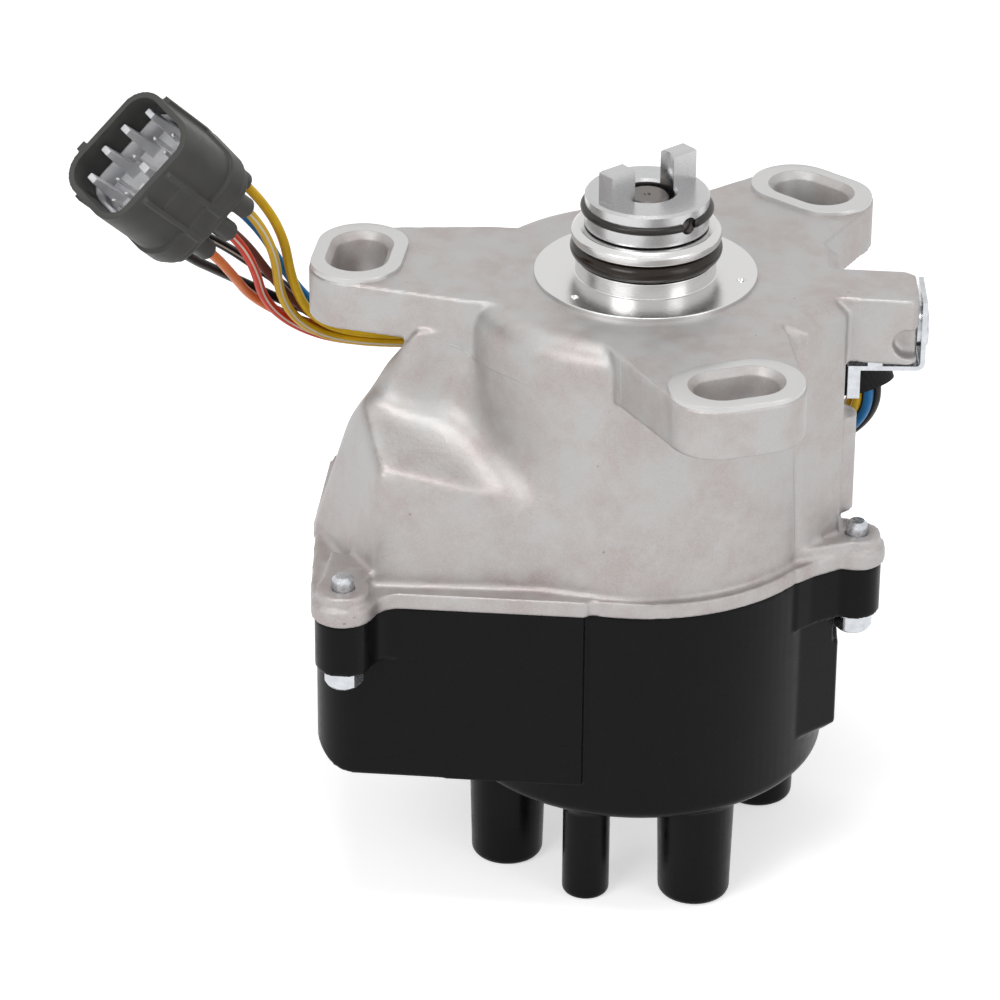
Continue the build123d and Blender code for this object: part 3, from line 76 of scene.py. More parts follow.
# Harness, in metres, with the same corners as the solid wires
CONNECTOR_PLACE = Vector((-0.1174, -0.0100, 0.0322))
CONNECTOR_LONG = Vector((0.6735, 0.2685, 0.689))
CONNECTOR_BACK = Vector((0.444, 0.5985, -0.667)).normalized()
PORT_END = 0.037
PORTS = (
    (0.0110, 0.0012),
    (0.0072, 0.0067),
    (0.0006, 0.0077),
    (-0.0059, 0.0067),
    (-0.0106, 0.0018),
    (-0.0058, -0.0040),
    (0.0048, -0.0042),
    (-0.0005, -0.0034),
)
WIRE_R = 0.00115
WIRE_RING_R = 0.00294
WIRE_TURN = -16.0
WIRE_TWIST = 100.0
FAN = (
    ((-0.0924, 0.0200, -0.0048), 0.8),
    ((-0.0876, 0.0250, -0.0162), 0.45),
    ((-0.0802, 0.0295, -0.0262), 0.15),
    ((-0.0699, 0.0330, -0.0324), 0.0),
)
BUNDLE = (
    (-0.0480, 0.0365, -0.0345),
    (-0.0370, 0.0410, -0.0325),
    (-0.0255, 0.0460, -0.0315),
    (-0.0130, 0.0500, -0.0305),
    (0.0000, 0.0518, -0.0300),
    (0.0135, 0.0500, -0.0295),
    (0.0265, 0.0450, -0.0290),
    (0.0375, 0.0386, -0.0273),
    (0.0469, 0.0276, -0.0258),
    (0.0516, 0.0209, -0.0315),
    (0.0540, 0.0199, -0.0408),
    (0.0516, 0.0241, -0.0495),
)
OUTLET_ANGLE = 30.0
OUTLET_REACH = 0.0462
OUTLET_Z = -0.0555
SLEEVE_R = 0.0052
SLEEVE_PAST = 0.85        # how far past the turn towards the outlet the sleeve ends
SLEEVE_FLAT_LONG = 0.011
SLEEVE_SPREAD = 0.0019
SLEEVE_PRESS = 0.0008
SHELL_LONG = 0.0288
SHELL_WIDE = 0.0216
SHELL_ROUND = 0.0066
SHELL_WALL = 0.0015
INSERT_FLOOR = 0.0150
INSERT_RIM = 0.0095       # depth of the insert's thin upstanding rim

# Mounting ears: reach from the shaft and angle
EARS = ((0.0604, -72.0), (0.0610, 48.4), (0.0665, 172.4))
PAD_R = 0.0106
PAD_STRAIGHT = 0.0097
SLOT_R = 0.0060
SLOT_STRAIGHT = 0.0074
SLOT_CHAMFER = 0.0014
CAST_Z = -0.0010
EAR_THICK = 0.0120

# Turned nose of the housing
LAND_R = 0.0162
RIM_R = 0.0172
FLANGE_R = 0.0257
GROOVE_LOW = 0.0038
GROOVE_HIGH = 0.0085
GROOVE_R = 0.0131
SPIGOT_TOP = 0.0117
SEAL_R = 0.0100
PUNCH_R = 0.0223
PUNCH_MARK_R = 0.0011
PUNCH_ANGLES = (-138.0, -14.0, 106.0)
RING_MIDDLE = 0.0161
RING_REACH = 0.0144
RING_THICK = 0.0009
DOG_ANGLE = 40.0

# Coil spring of the carbon brush
SPRING_TURNS = 7
SPRING_REACH = 0.0019
SPRING_WIRE_R = 0.00025

# Direction of the coil box's front wall, along which casting and cap are remeshed on their grids
FRONT_WALL_TURN = Matrix.Rotation(math.radians(-4.9), 4, "Z")
CASTING_GRID = 0.7 * MM
CAP_GRID = 0.5 * MM

# How far the casting stays back from the slots, whose walls are pieces of their own
SLOT_CLEAR = 0.45 * MM

# Soft junction between the coil compartment's roof and the barrel
JUNCTION_REACH = 7.5 * MM
JUNCTION = (
    (-0.0193, -0.0380, -0.0406),
    (-0.0286, -0.0315, -0.0377),
    (-0.0377, -0.0240, -0.0369),
    (-0.0458, -0.0200, -0.0316),
    (-0.0492, -0.0200, -0.0277),
)

# Thin flash lines left by the mould: where they run in the photograph, in pixels
FLASH_R = 0.2 * MM
FLASH_LINES = (
    (
        (441, 344), (450, 345), (458, 347), (468, 355), (480, 363),
        (492, 370), (504, 376), (522, 383), (539, 389),
    ),
    ((615, 353), (622, 353), (632, 362), (643, 372), (655, 383), (667, 393)),
    ((620, 356), (621, 372), (621, 390), (622, 408)),
    ((794, 452), (794.5, 490), (795, 525), (795, 556)),
)


def polar(reach, degrees, z=0.0):
    angle = math.radians(degrees)
    return Vector((reach * math.cos(angle), reach * math.sin(angle), z))


# Camera

def make_camera():
    back = CAMERA_RIGHT.cross(CAMERA_UP)
    turn = Matrix((CAMERA_RIGHT, CAMERA_UP, back)).transposed()
    data = bpy.data.cameras.new("camera")
    data.sensor_width = SENSOR
    data.lens = FOCAL_PIXELS * SENSOR / PICTURE
    data.clip_start = 0.05
    data.clip_end = 20
    camera = bpy.data.objects.new("camera", data)
    camera.matrix_world = Matrix.Translation(CAMERA_PLACE) @ turn.to_4x4()
    bpy.context.scene.collection.objects.link(camera)
    bpy.context.scene.camera = camera


def pixel_ray(u, v):
    """Direction from the camera through a pixel of the photograph."""
    ahead = -CAMERA_RIGHT.cross(CAMERA_UP)
    half = PICTURE / 2
    return (ahead * FOCAL_PIXELS + CAMERA_RIGHT * (u - half) - CAMERA_UP * (v - half)).normalized()


# Materials

class Surface:
    """A material with its shader and short ways to add procedural nodes."""

    def __init__(self, name, colour, metallic=0.0, roughness=0.5):
        self.material = bpy.data.materials.new(name)
        self.material.use_nodes = True
        self.tree = self.material.node_tree
        self.shader = self.tree.nodes["Principled BSDF"]
        self.put("Base Color", (*colour, 1))
        self.put("Metallic", metallic)
        self.put("Roughness", roughness)
        self.place = self.node("ShaderNodeTexCoord").outputs["Object"]
        self.height = None

    def put(self, socket, value):
        self.shader.inputs[socket].default_value = value

    def node(self, kind, **inputs):
        made = self.tree.nodes.new(kind)
        for name, value in inputs.items():
            self.set(made, name, value)
        return made

    def set(self, node, name, value):
        socket = node.inputs[name] if name in node.inputs else node.inputs[int(name[1:])]
        if isinstance(value, bpy.types.NodeSocket):
            self.tree.links.new(value, socket)
        else:
            socket.default_value = value

    def link(self, value, socket):
        self.tree.links.new(value, self.shader.inputs[socket])

    def noise(self, size, detail=3.0, rough=0.55, place=None):
        """Noise whose blobs are about this size, in metres."""
        made = self.node("ShaderNodeTexNoise", Scale=1 / size, Detail=detail, Roughness=rough)
        self.tree.links.new(place or self.place, made.inputs["Vector"])
        return made.outputs["Fac"]

    def ramp(self, value, low, high, start=0.0, end=1.0):
        made = self.node("ShaderNodeMapRange", Value=value)
        made.inputs["From Min"].default_value = low
        made.inputs["From Max"].default_value = high
        made.inputs["To Min"].default_value = start
        made.inputs["To Max"].default_value = end
        return made.outputs["Result"]

    def math(self, kind, a, b=0.0):
        made = self.node("ShaderNodeMath", _0=a, _1=b)
        made.operation = kind
        return made.outputs["Value"]

    def mix(self, factor, a, b):
        made = self.node("ShaderNodeMix")
        made.data_type = "RGBA"
        inputs = [s for s in made.inputs if s.type == "RGBA"]
        for value, socket in ((factor, made.inputs["Factor"]), (a, inputs[0]), (b, inputs[1])):
            if isinstance(value, bpy.types.NodeSocket):
                self.tree.links.new(value, socket)
            else:
                socket.default_value = (*value, 1) if isinstance(value, tuple) else value
        return [s for s in made.outputs if s.type == "RGBA"][0]

    def parts(self, vector=None):
        return self.node("ShaderNodeSeparateXYZ", Vector=vector or self.place).outputs

    def bump(self, value, depth, strength=1.0):
        """Adds a height of this depth in metres to the surface's relief."""
        made = self.node("ShaderNodeBump", Height=value, Distance=depth, Strength=strength)
        if self.height is not None:
            self.tree.links.new(self.height, made.inputs["Normal"])
        self.height = made.outputs["Normal"]
        self.link(self.height, "Normal")


def cast_metal():
    """Sand-blasted aluminium casting with faint stains, walls darker towards the bottom, and pits
    whose shade is painted as dark specks.
    """
    s = Surface("cast_metal", (0.45, 0.43, 0.42), metallic=0.68, roughness=0.48)
    stain = s.noise(15 * MM, 4, 0.6)
    pink = s.mix(s.ramp(stain, 0.42, 0.60), (0.470, 0.460, 0.453), (0.428, 0.380, 0.368))
    # Walls darker and pinker towards the bottom, from z = -30 mm down to -62 mm
    lower_wall = s.ramp(s.parts()[2], -62 * MM, -30 * MM, 0.45, 0.0)
    pink = s.mix(lower_wall, pink, (0.37, 0.318, 0.310))
    cloud = s.noise(5 * MM, 5, 0.65)
    grey = s.mix(s.ramp(cloud, 0.42, 0.72, 0.0, 0.8), pink, (0.500, 0.495, 0.488))
    fine = s.noise(0.35 * MM, 2, 0.6)
    speckled = s.mix(s.ramp(fine, 0.38, 0.7, 0.0, 0.30), grey, (0.60, 0.585, 0.575))
    # Painted shade: small dark specks stand for the shade inside casting pits, which have no relief of
    # their own
    pit_shade_noise = s.noise(1.7 * MM, 1, 0.4)
    with_pit_shade = s.mix(s.ramp(pit_shade_noise, 0.80, 0.83, 0.0, 0.6), speckled, (0.20, 0.19, 0.185))
    s.link(with_pit_shade, "Base Color")
    s.link(s.ramp(cloud, 0.3, 0.7, 0.42, 0.54), "Roughness")
    s.bump(fine, 0.05 * MM, 0.5)
    s.bump(s.noise(1.4 * MM, 4, 0.6), 0.10 * MM, 0.4)
    s.bump(cloud, 0.22 * MM, 0.45)
    return s.material


def milled_metal():
    """Face-milled pads: bright, with very fine parallel cutter marks."""
    s = Surface("milled_metal", (0.62, 0.615, 0.61), metallic=0.7, roughness=0.38)
    x, y = s.parts()[:2]
    across = s.math("ADD", x, s.math("MULTIPLY", y, 0.25))
    marks = s.math("SINE", s.math("MULTIPLY", across, 14000.0))
    s.link(s.ramp(s.noise(3 * MM, 4), 0.3, 0.7, 0.30, 0.42), "Roughness")
    s.bump(marks, 0.004 * MM, 0.5)
    s.bump(s.noise(0.25 * MM, 2), 0.015 * MM, 0.4)
    return s.material


def turned_metal(name="turned_metal", colour=(0.67, 0.665, 0.66), roughness=0.24):
    """Lathe-turned metal with fine rings about the shaft's axis."""
    s = Surface(name, colour, metallic=1.0, roughness=roughness)
    x, y, z = s.parts()
    reach = s.math("SQRT", s.math("ADD", s.math("MULTIPLY", x, x), s.math("MULTIPLY", y, y)))
    flat_rings = s.math("SINE", s.math("MULTIPLY", reach, 30000.0))
    side_rings = s.math("SINE", s.math("MULTIPLY", z, 26000.0))
    s.bump(flat_rings, 0.003 * MM, 0.6)
    s.bump(side_rings, 0.003 * MM, 0.6)
    s.link(s.ramp(s.noise(4 * MM, 4), 0.3, 0.7, roughness * 0.93, roughness * 1.1), "Roughness")
    return s.material


def plated_steel(name, colour, roughness=0.28, uneven=1.0):
    """Zinc-plated steel with a more or less uneven sheen."""
    s = Surface(name, colour, metallic=1.0, roughness=roughness)
    cloud = s.noise(2.2 * MM, 4, 0.6)
    tint = s.mix(s.ramp(cloud, 0.35, 0.7), colour, tuple(c * (1 - 0.18 * uneven) for c in colour))
    s.link(tint, "Base Color")
    low, high = roughness * (1 - 0.25 * uneven), roughness * (1 + 0.45 * uneven)
    s.link(s.ramp(s.noise(0.8 * MM, 4), 0.3, 0.7, low, high), "Roughness")
    s.bump(s.noise(0.5 * MM, 3), 0.02 * uneven * MM, 0.5)
    return s.material


def moulded(name, colour, roughness=0.35, grain=0.3, depth=0.02, gloss=0.3):
    """Moulded plastic with a fine surface grain and slight unevenness."""
    s = Surface(name, colour, metallic=0.0, roughness=roughness)
    s.put("Specular IOR Level", gloss)
    tint = s.mix(s.ramp(s.noise(6 * MM, 3), 0.35, 0.7), colour, tuple(c * 1.25 for c in colour))
    s.link(tint, "Base Color")
    s.link(s.ramp(s.noise(3 * MM, 4), 0.3, 0.7, roughness * 0.85, roughness * 1.2), "Roughness")
    s.bump(s.noise(grain * MM, 2), depth * MM, 0.5)
    s.bump(s.noise(9 * MM, 2), 0.12 * MM, 0.35)
    return s.material


def rubber():
    """Black rubber with an uneven sheen."""
    roughness = 0.18
    s = Surface("rubber", (0.018, 0.011, 0.007), roughness=roughness)
    s.put("Specular IOR Level", 0.35)
    s.link(s.ramp(s.noise(2 * MM, 4), 0.3, 0.7, roughness * 0.7, roughness * 1.4), "Roughness")
    s.bump(s.noise(0.6 * MM, 3), 0.02 * MM, 0.5)
    return s.material


def wire_cover(name, colour, stripe=None):
    """Glossy wire insulation, with a stripe along it where the wire has one."""
    s = Surface(name, colour, roughness=0.34)
    s.put("Specular IOR Level", 0.28)
    tint = s.mix(s.ramp(s.noise(5 * MM, 2), 0.35, 0.7), colour, tuple(c * 0.85 for c in colour))
    if stripe:
        around = s.parts(s.node("ShaderNodeTexCoord").outputs["UV"])[1]
        off_centre = s.math("ABSOLUTE", s.math("SUBTRACT", around, 0.5))
        edge = s.ramp(off_centre, 0.028, 0.036, 1.0, 0.0)
        tint = s.mix(edge, tint, stripe)
    s.link(tint, "Base Color")
    s.bump(s.noise(1.2 * MM, 3), 0.02 * MM, 0.4)
    return s.material


def woven(name, colour):
    """Black woven sleeve: crossing threads as colour and relief."""
    s = Surface(name, colour, roughness=0.7)
    s.put("Specular IOR Level", 0.2)
    x, y, z = s.parts()
    one = s.math("SINE", s.math("MULTIPLY", s.math("ADD", s.math("ADD", x, y), z), 7000.0))
    two = s.math("SINE", s.math("MULTIPLY", s.math("SUBTRACT", s.math("ADD", x, z), y), 7000.0))
    weave = s.math("MULTIPLY", one, two)
    s.link(s.mix(s.ramp(weave, -1, 1), colour, tuple(c * 2.2 for c in colour)), "Base Color")
    s.bump(weave, 0.08 * MM, 0.8)
    return s.material


# Shapes

def add_object(name, mesh, material, body=ROOT, node=None, smooth=True):
    """Puts a mesh in the scene as a piece that rides on a body."""
    made = bpy.data.objects.new(name, mesh)
    bpy.context.scene.collection.objects.link(made)
    mesh.materials.clear()
    mesh.materials.append(material)
    if smooth:
        mesh.shade_smooth()
    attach(made, body)
    if node:
        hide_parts(*([node] if isinstance(node, str) else node))
    return made


def evaluated(made):
    """The mesh of an object with its modifiers applied, as new data."""
    bpy.context.view_layer.update()
    graph = bpy.context.evaluated_depsgraph_get()
    return bpy.data.meshes.new_from_object(made.evaluated_get(graph), depsgraph=graph)


def remeshed(mesh, voxel):
    """The mesh rebuilt on an even grid of this size."""
    holder = bpy.data.objects.new("holder", mesh)
    bpy.context.scene.collection.objects.link(holder)
    modifier = holder.modifiers.new("remesh", "REMESH")
    modifier.mode = "VOXEL"
    modifier.voxel_size = voxel
    result = evaluated(holder)
    bpy.data.objects.remove(holder)
    return result


def without(mesh, tool):
    """The mesh with the tool's shape cut out of it."""
    holders = [bpy.data.objects.new("holder", part) for part in (mesh, tool)]
    for holder in holders:
        bpy.context.scene.collection.objects.link(holder)
    modifier = holders[0].modifiers.new("cut", "BOOLEAN")
    modifier.operation = "DIFFERENCE"
    modifier.solver = "EXACT"
    modifier.object = holders[1]
    result = evaluated(holders[0])
    for holder in holders:
        bpy.data.objects.remove(holder)
    return result


def points_of(mesh):
    flat = np.zeros(len(mesh.vertices) * 3)
    mesh.vertices.foreach_get("co", flat)
    return flat.reshape(-1, 3)


def set_points(mesh, points):
    mesh.vertices.foreach_set("co", points.ravel())
    mesh.update()


def remeshed_along(mesh, turn, voxel):
    """Remeshes on a grid turned with the piece, so its flat sides stay flat."""
    mesh.transform(turn.inverted())
    result = remeshed(mesh, voxel)
    result.transform(turn)
    return result


def relax(mesh, passes, weight=None, keep_volume=True):
    """Evens out the surface: each point moves towards the mean of its neighbours."""
    edges = np.zeros(len(mesh.edges) * 2, np.int64)
    mesh.edges.foreach_get("vertices", edges)
    a, b = edges[0::2], edges[1::2]
    points = points_of(mesh)
    count = len(points)
    degree = np.bincount(a, minlength=count) + np.bincount(b, minlength=count)
    degree = np.maximum(degree, 1)[:, None]
    share = np.ones((count, 1)) if weight is None else weight[:, None]
    steps = (0.5, -0.53) if keep_volume else (0.5,)
    for _ in range(passes):
        for step in steps:
            total = np.zeros_like(points)
            for axis in range(3):
                total[:, axis] = np.bincount(a, points[b, axis], count)
                total[:, axis] += np.bincount(b, points[a, axis], count)
            points += (total / degree - points) * step * share
    set_points(mesh, points)


def cut_above(mesh, z):
    """Removes everything above a height and closes the cut."""
    bm = bmesh.new()
    bm.from_mesh(mesh)
    bmesh.ops.remove_doubles(bm, verts=bm.verts, dist=1e-6)
    geometry = bm.verts[:] + bm.edges[:] + bm.faces[:]
    plane = {"plane_co": (0, 0, z), "plane_no": (0, 0, 1)}
    cut = bmesh.ops.bisect_plane(bm, geom=geometry, clear_outer=True, **plane)
    rim = [e for e in cut["geom_cut"] if isinstance(e, bmesh.types.BMEdge)]
    bmesh.ops.triangle_fill(bm, use_beauty=True, use_dissolve=False, edges=rim, normal=(0, 0, 1))
    bm.to_mesh(mesh)
    bm.free()
    return mesh


def lathe(profile, steps):
    """Turns a closed outline of (radius, z) points about the shaft's axis."""
    bm = bmesh.new()
    rings = []
    for index in range(steps):
        angle = 2 * math.pi * index / steps
        rings.append([bm.verts.new((r * math.cos(angle), r * math.sin(angle), z)) for r, z in profile])
    count = len(profile)
    for index in range(steps):
        here, there = rings[index], rings[(index + 1) % steps]
        for k in range(count):
            n = (k + 1) % count
            bm.faces.new((here[k], there[k], there[n], here[n]))
    bmesh.ops.recalc_face_normals(bm, faces=bm.faces)
    mesh = bpy.data.meshes.new("lathe")
    bm.to_mesh(mesh)
    bm.free()
    return mesh


def rounded(profile, radius, steps):
    """Replaces the corners of a closed (radius, z) outline with small arcs."""
    result = []
    count = len(profile)
    for index in range(count):
        here = Vector(profile[index])
        before = Vector(profile[index - 1]) - here
        after = Vector(profile[(index + 1) % count]) - here
        reach = min(radius, before.length * 0.45, after.length * 0.45)
        start, end = here + before.normalized() * reach, here + after.normalized() * reach
        for k in range(steps + 1):
            t = k / steps
            result.append(tuple(start * (1 - t) ** 2 + here * 2 * t * (1 - t) + end * t * t))
    return result


def stadium(straight, radius, steps=24):
    """Points of a round-ended slot, long along y."""
    points = []
    for end, first in ((straight / 2, 0), (-straight / 2, 180)):
        for k in range(steps + 1):
            angle = math.radians(first + 180 * k / steps)
            points.append((radius * math.cos(angle), end + radius * math.sin(angle)))
    return points


def skin(loops):
    """Joins loops of equally many points into one surface, and the last loop to the first."""
    bm = bmesh.new()
    rings = [[bm.verts.new(p) for p in loop] for loop in loops]
    count = len(rings[0])
    for one, two in zip(rings, rings[1:] + rings[:1]):
        for k in range(count):
            n = (k + 1) % count
            bm.faces.new((one[k], one[n], two[n], two[k]))
    bmesh.ops.recalc_face_normals(bm, faces=bm.faces)
    mesh = bpy.data.meshes.new("skin")
    bm.to_mesh(mesh)
    bm.free()
    return mesh


def tube_mesh(line, radius, sides=16, shape=None, outward=False):
    """A closed tube along a line of points. shape gives each point's two half widths,
    the first of them away from the shaft where outward is set."""
    frames = []
    ahead = (line[1] - line[0]).normalized()
    side = ahead.orthogonal().normalized()
    for index, point in enumerate(line):
        nxt = line[min(index + 1, len(line) - 1)] - line[max(index - 1, 0)]
        ahead = nxt.normalized()
        if outward:
            side = Vector((point.x, point.y, 0))
        side = (side - ahead * side.dot(ahead)).normalized()
        frames.append((point, side, ahead.cross(side)))
    loops = []
    turns = [2 * math.pi * k / sides for k in range(sides)]
    for index, (point, one, two) in enumerate(frames):
        wide, tall = shape(index) if shape else (radius, radius)
        loops.append([
            point + one * (wide * math.cos(turn)) + two * (tall * math.sin(turn)) for turn in turns
        ])
    bm = bmesh.new()
    rings = [[bm.verts.new(p) for p in loop] for loop in loops]
    for one, two in zip(rings, rings[1:]):
        for k in range(sides):
            n = (k + 1) % sides
            bm.faces.new((one[k], one[n], two[n], two[k]))
    bm.faces.new(list(reversed(rings[0])))
    bm.faces.new(rings[-1])
    bmesh.ops.recalc_face_normals(bm, faces=bm.faces)
    mesh = bpy.data.meshes.new("tube")
    bm.to_mesh(mesh)
    bm.free()
    return mesh


# Harness

def wire_slot(index, spread, twist):
    """Offset of a wire from the bundle's centre, along the connector's two axes."""
    angle = math.radians(WIRE_TURN + 360 * index / 7)
    ring = WIRE_RING_R if index < 7 else 0
    x = PORTS[index][0] * spread + ring * math.cos(angle) * (1 - spread)
    y = PORTS[index][1] * spread + ring * math.sin(angle) * (1 - spread)
    turn = math.radians(twist)
    return x * math.cos(turn) - y * math.sin(turn), x * math.sin(turn) + y * math.cos(turn)


def connector_long():
    """The connector's long axis, square to its back direction."""
    back = CONNECTOR_BACK
    return (CONNECTOR_LONG - back * CONNECTOR_LONG.dot(back)).normalized()


def harness_centre():
    """Corners of the harness's centre line, each with its spread and twist."""
    corners = [
        (CONNECTOR_PLACE + CONNECTOR_BACK * (PORT_END - 0.006), 1, 0),
        (CONNECTOR_PLACE + CONNECTOR_BACK * (PORT_END + 0.0045), 1, 0),
    ]
    for place, spread in FAN:
        corners.append((Vector(place), spread, WIRE_TWIST * (1 - spread)))
    for place in BUNDLE:
        corners.append((Vector(place), 0, WIRE_TWIST))
    for reach in (OUTLET_REACH + 0.0032, OUTLET_REACH - 0.0122):
        corners.append((polar(reach, OUTLET_ANGLE, OUTLET_Z), 0, WIRE_TWIST))
    return corners


def wire_route(index):
    """Corners of one wire, kept parallel to its neighbours in the bundle."""
    corners = harness_centre()
    centres = [corner[0] for corner in corners]
    side = connector_long()
    along = (centres[1] - centres[0]).normalized()
    points = []
    for step, (centre, spread, twist) in enumerate(corners):
        x, y = wire_slot(index, spread, twist)
        shift = side * x + along.cross(side) * y
        if step in (0, len(corners) - 1):
            points.append(centre + shift)
            continue
        ahead = (centres[step + 1] - centre).normalized()
        axis = along.cross(ahead).normalized()
        inward, inward_ahead = axis.cross(along), axis.cross(ahead)
        depth = shift.dot(inward)
        mitre = (inward + inward_ahead) * (depth / (1 + inward.dot(inward_ahead)))
        points.append(centre + axis * shift.dot(axis) + mitre)
        side = axis * side.dot(axis) + inward_ahead * side.dot(inward) + ahead * side.dot(along)
        along = ahead
    return points


def spline_curve(name, points, radius):
    """A smooth cord along the points, round in section."""
    data = bpy.data.curves.new(name, "CURVE")
    data.dimensions = "3D"
    data.bevel_depth = radius
    data.bevel_resolution = 5
    data.resolution_u = 12
    data.use_fill_caps = True
    spline = data.splines.new("NURBS")
    spline.points.add(len(points) - 1)
    for target, point in zip(spline.points, points):
        target.co = (*point, 1)
    spline.order_u = 3
    spline.use_endpoint_u = True
    made = bpy.data.objects.new(name, data)
    bpy.context.scene.collection.objects.link(made)
    return made


def spline_line(points):
    """Points along the smooth line through these corners."""
    holder = spline_curve("line", points, 0.0)
    mesh = evaluated(holder)
    line = [v.co.copy() for v in mesh.vertices]
    bpy.data.objects.remove(holder)
    return line


def length_of(line):
    return sum((b - a).length for a, b in zip(line, line[1:]))


WIRES = (
    ("wire_1", "wire_yellow", (0.80, 0.49, 0.012), None),
    ("wire_2", "wire_yellow", (0.78, 0.47, 0.015), (0.75, 0.68, 0.58)),
    ("wire_3", "wire_red", (0.76, 0.042, 0.012), (0.78, 0.66, 0.58)),
    ("wire_4", "wire_orange", (0.84, 0.22, 0.055), None),
    ("wire_5", "wire_black", (0.012, 0.010, 0.010), None),
    ("wire_6", "wire_black", (0.012, 0.010, 0.010), (0.7, 0.7, 0.68)),
    ("wire_7", "wire_blue", (0.010, 0.20, 0.52), None),
    ("wire_8", "wire_brown", (0.20, 0.06, 0.035), None),
)


def make_wires():
    """The eight leads."""
    for index, (name, slot, colour, stripe) in enumerate(WIRES):
        points = wire_route(index)
        piece = spline_curve(name + "_lead", points, WIRE_R)
        piece.data.materials.append(wire_cover(name + "_cover", colour, stripe))
        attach(piece, ROOT)
        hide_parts(name)
        length_of(spline_line(points))


def make_sleeve(material):
    """Woven sleeve, round along the back and pressed flat where the wires come out."""
    centres = [corner[0] for corner in harness_centre()]
    first = len(centres) - len(BUNDLE) - 1
    last = len(centres) - 5
    start = (centres[first - 1] + centres[first]) * 0.5
    end = centres[last] * (1 - SLEEVE_PAST) + centres[last + 1] * SLEEVE_PAST
    line = spline_line([start] + centres[first:last + 1] + [end])

    def pressed(index):
        """Half widths: round, then flat and wide over the last stretch."""
        left = sum((b - a).length for a, b in zip(line[index:], line[index + 1:]))
        flat = max(0.0, 1 - left / SLEEVE_FLAT_LONG)
        flat = flat * flat * (3 - 2 * flat)
        return SLEEVE_R + flat * SLEEVE_SPREAD, SLEEVE_R - flat * SLEEVE_PRESS

    mesh = tube_mesh(line, SLEEVE_R, 36, pressed, outward=True)
    return add_object("woven_sleeve", mesh, material, node="harness_sleeve")


# Housing

def nearness(points, line, reach):
    """How near each point is to a line of corners: 1 on it, falling smoothly to 0."""
    best = np.full(len(points), np.inf)
    for start, end in zip(line, line[1:]):
        a, b = np.array(start), np.array(end)
        along = np.clip((points - a) @ (b - a) / ((b - a) @ (b - a)), 0, 1)
        best = np.minimum(best, np.linalg.norm(points - a - along[:, None] * (b - a), axis=1))
    return np.exp(-(best / reach) ** 2)


def clear_slots(points):
    """Moves the casting back from the slots, whose walls belong to the pads."""
    for reach, angle in EARS:
        centre, out = np.array(polar(reach, angle))[:2], np.array(polar(1, angle))[:2]
        across = np.array((-out[1], out[0]))
        apart = points[:, :2] - centre
        local = np.stack((apart @ out, apart @ across), axis=1)
        middle = np.clip(local[:, 1], -SLOT_STRAIGHT / 2, SLOT_STRAIGHT / 2)
        away = np.stack((local[:, 0], local[:, 1] - middle), axis=1)
        far = np.maximum(np.linalg.norm(away, axis=1), 1e-9)
        near = (far < SLOT_R + SLOT_CLEAR) & (points[:, 2] > CAST_Z - EAR_THICK - 2 * MM)
        along = np.stack((np.zeros(len(points)), middle), axis=1)
        moved = away / far[:, None] * (SLOT_R + SLOT_CLEAR) + along
        place = centre + moved[:, :1] * out + moved[:, 1:] * across
        points[near, :2] = place[near]


def make_casting(material):
    """The whole casting with its soft blends, without the machined faces."""
    mesh = frame["nodes"]["housing"].data.copy()
    cut_above(mesh, CAST_Z - 0.00005)
    mesh = remeshed_along(mesh, FRONT_WALL_TURN, CASTING_GRID)
    relax(mesh, 5)
    points = points_of(mesh)
    x, y, z = points.T
    # Only the coil compartment's walls and roof blend, outside the barrel and below the top plate
    blend = np.clip((-4 * MM - x) / (10 * MM), 0, 1) * np.clip((4 * MM - y) / (6 * MM), 0, 1)
    blend *= np.clip((z + 60 * MM) / (6 * MM), 0, 1) * np.clip((-13.5 * MM - z) / (4 * MM), 0, 1)
    blend *= np.clip((np.hypot(x, y) - 40.5 * MM) / (1.5 * MM), 0, 1)
    relax(mesh, 44, blend, keep_volume=False)
    points = points_of(mesh)
    relax(mesh, 260, blend * nearness(points, JUNCTION, JUNCTION_REACH), keep_volume=False)
    points = points_of(mesh)
    clear_slots(points)
    set_points(mesh, points)
    return add_object("casting", mesh, material, node="housing")


def make_flash(casting, material):
    """Thin raised lines that the mould's joints left on the casting."""
    faces = [face.vertices for face in casting.data.polygons]
    tree = BVHTree.FromPolygons([v.co for v in casting.data.vertices], faces)
    for number, line in enumerate(FLASH_LINES, 1):
        points = []
        for (u0, v0), (u1, v1) in zip(line, line[1:]):
            steps = max(2, int(math.hypot(u1 - u0, v1 - v0) / 3))
            for k in range(steps):
                t = k / steps
                ray = pixel_ray(u0 + (u1 - u0) * t, v0 + (v1 - v0) * t)
                hit = tree.ray_cast(CAMERA_PLACE, ray)
                if hit[0] is not None:
                    points.append(hit[0] - hit[1] * 0.02 * MM)
        last = len(points) - 1
        widths = [FLASH_R * min(1, 0.3 + 3 * min(k, last - k) / last) for k in range(last + 1)]
        mesh = tube_mesh(points, FLASH_R, 8, lambda k: (widths[k], widths[k]))
        add_object(f"flash_line_{number}", mesh, material)


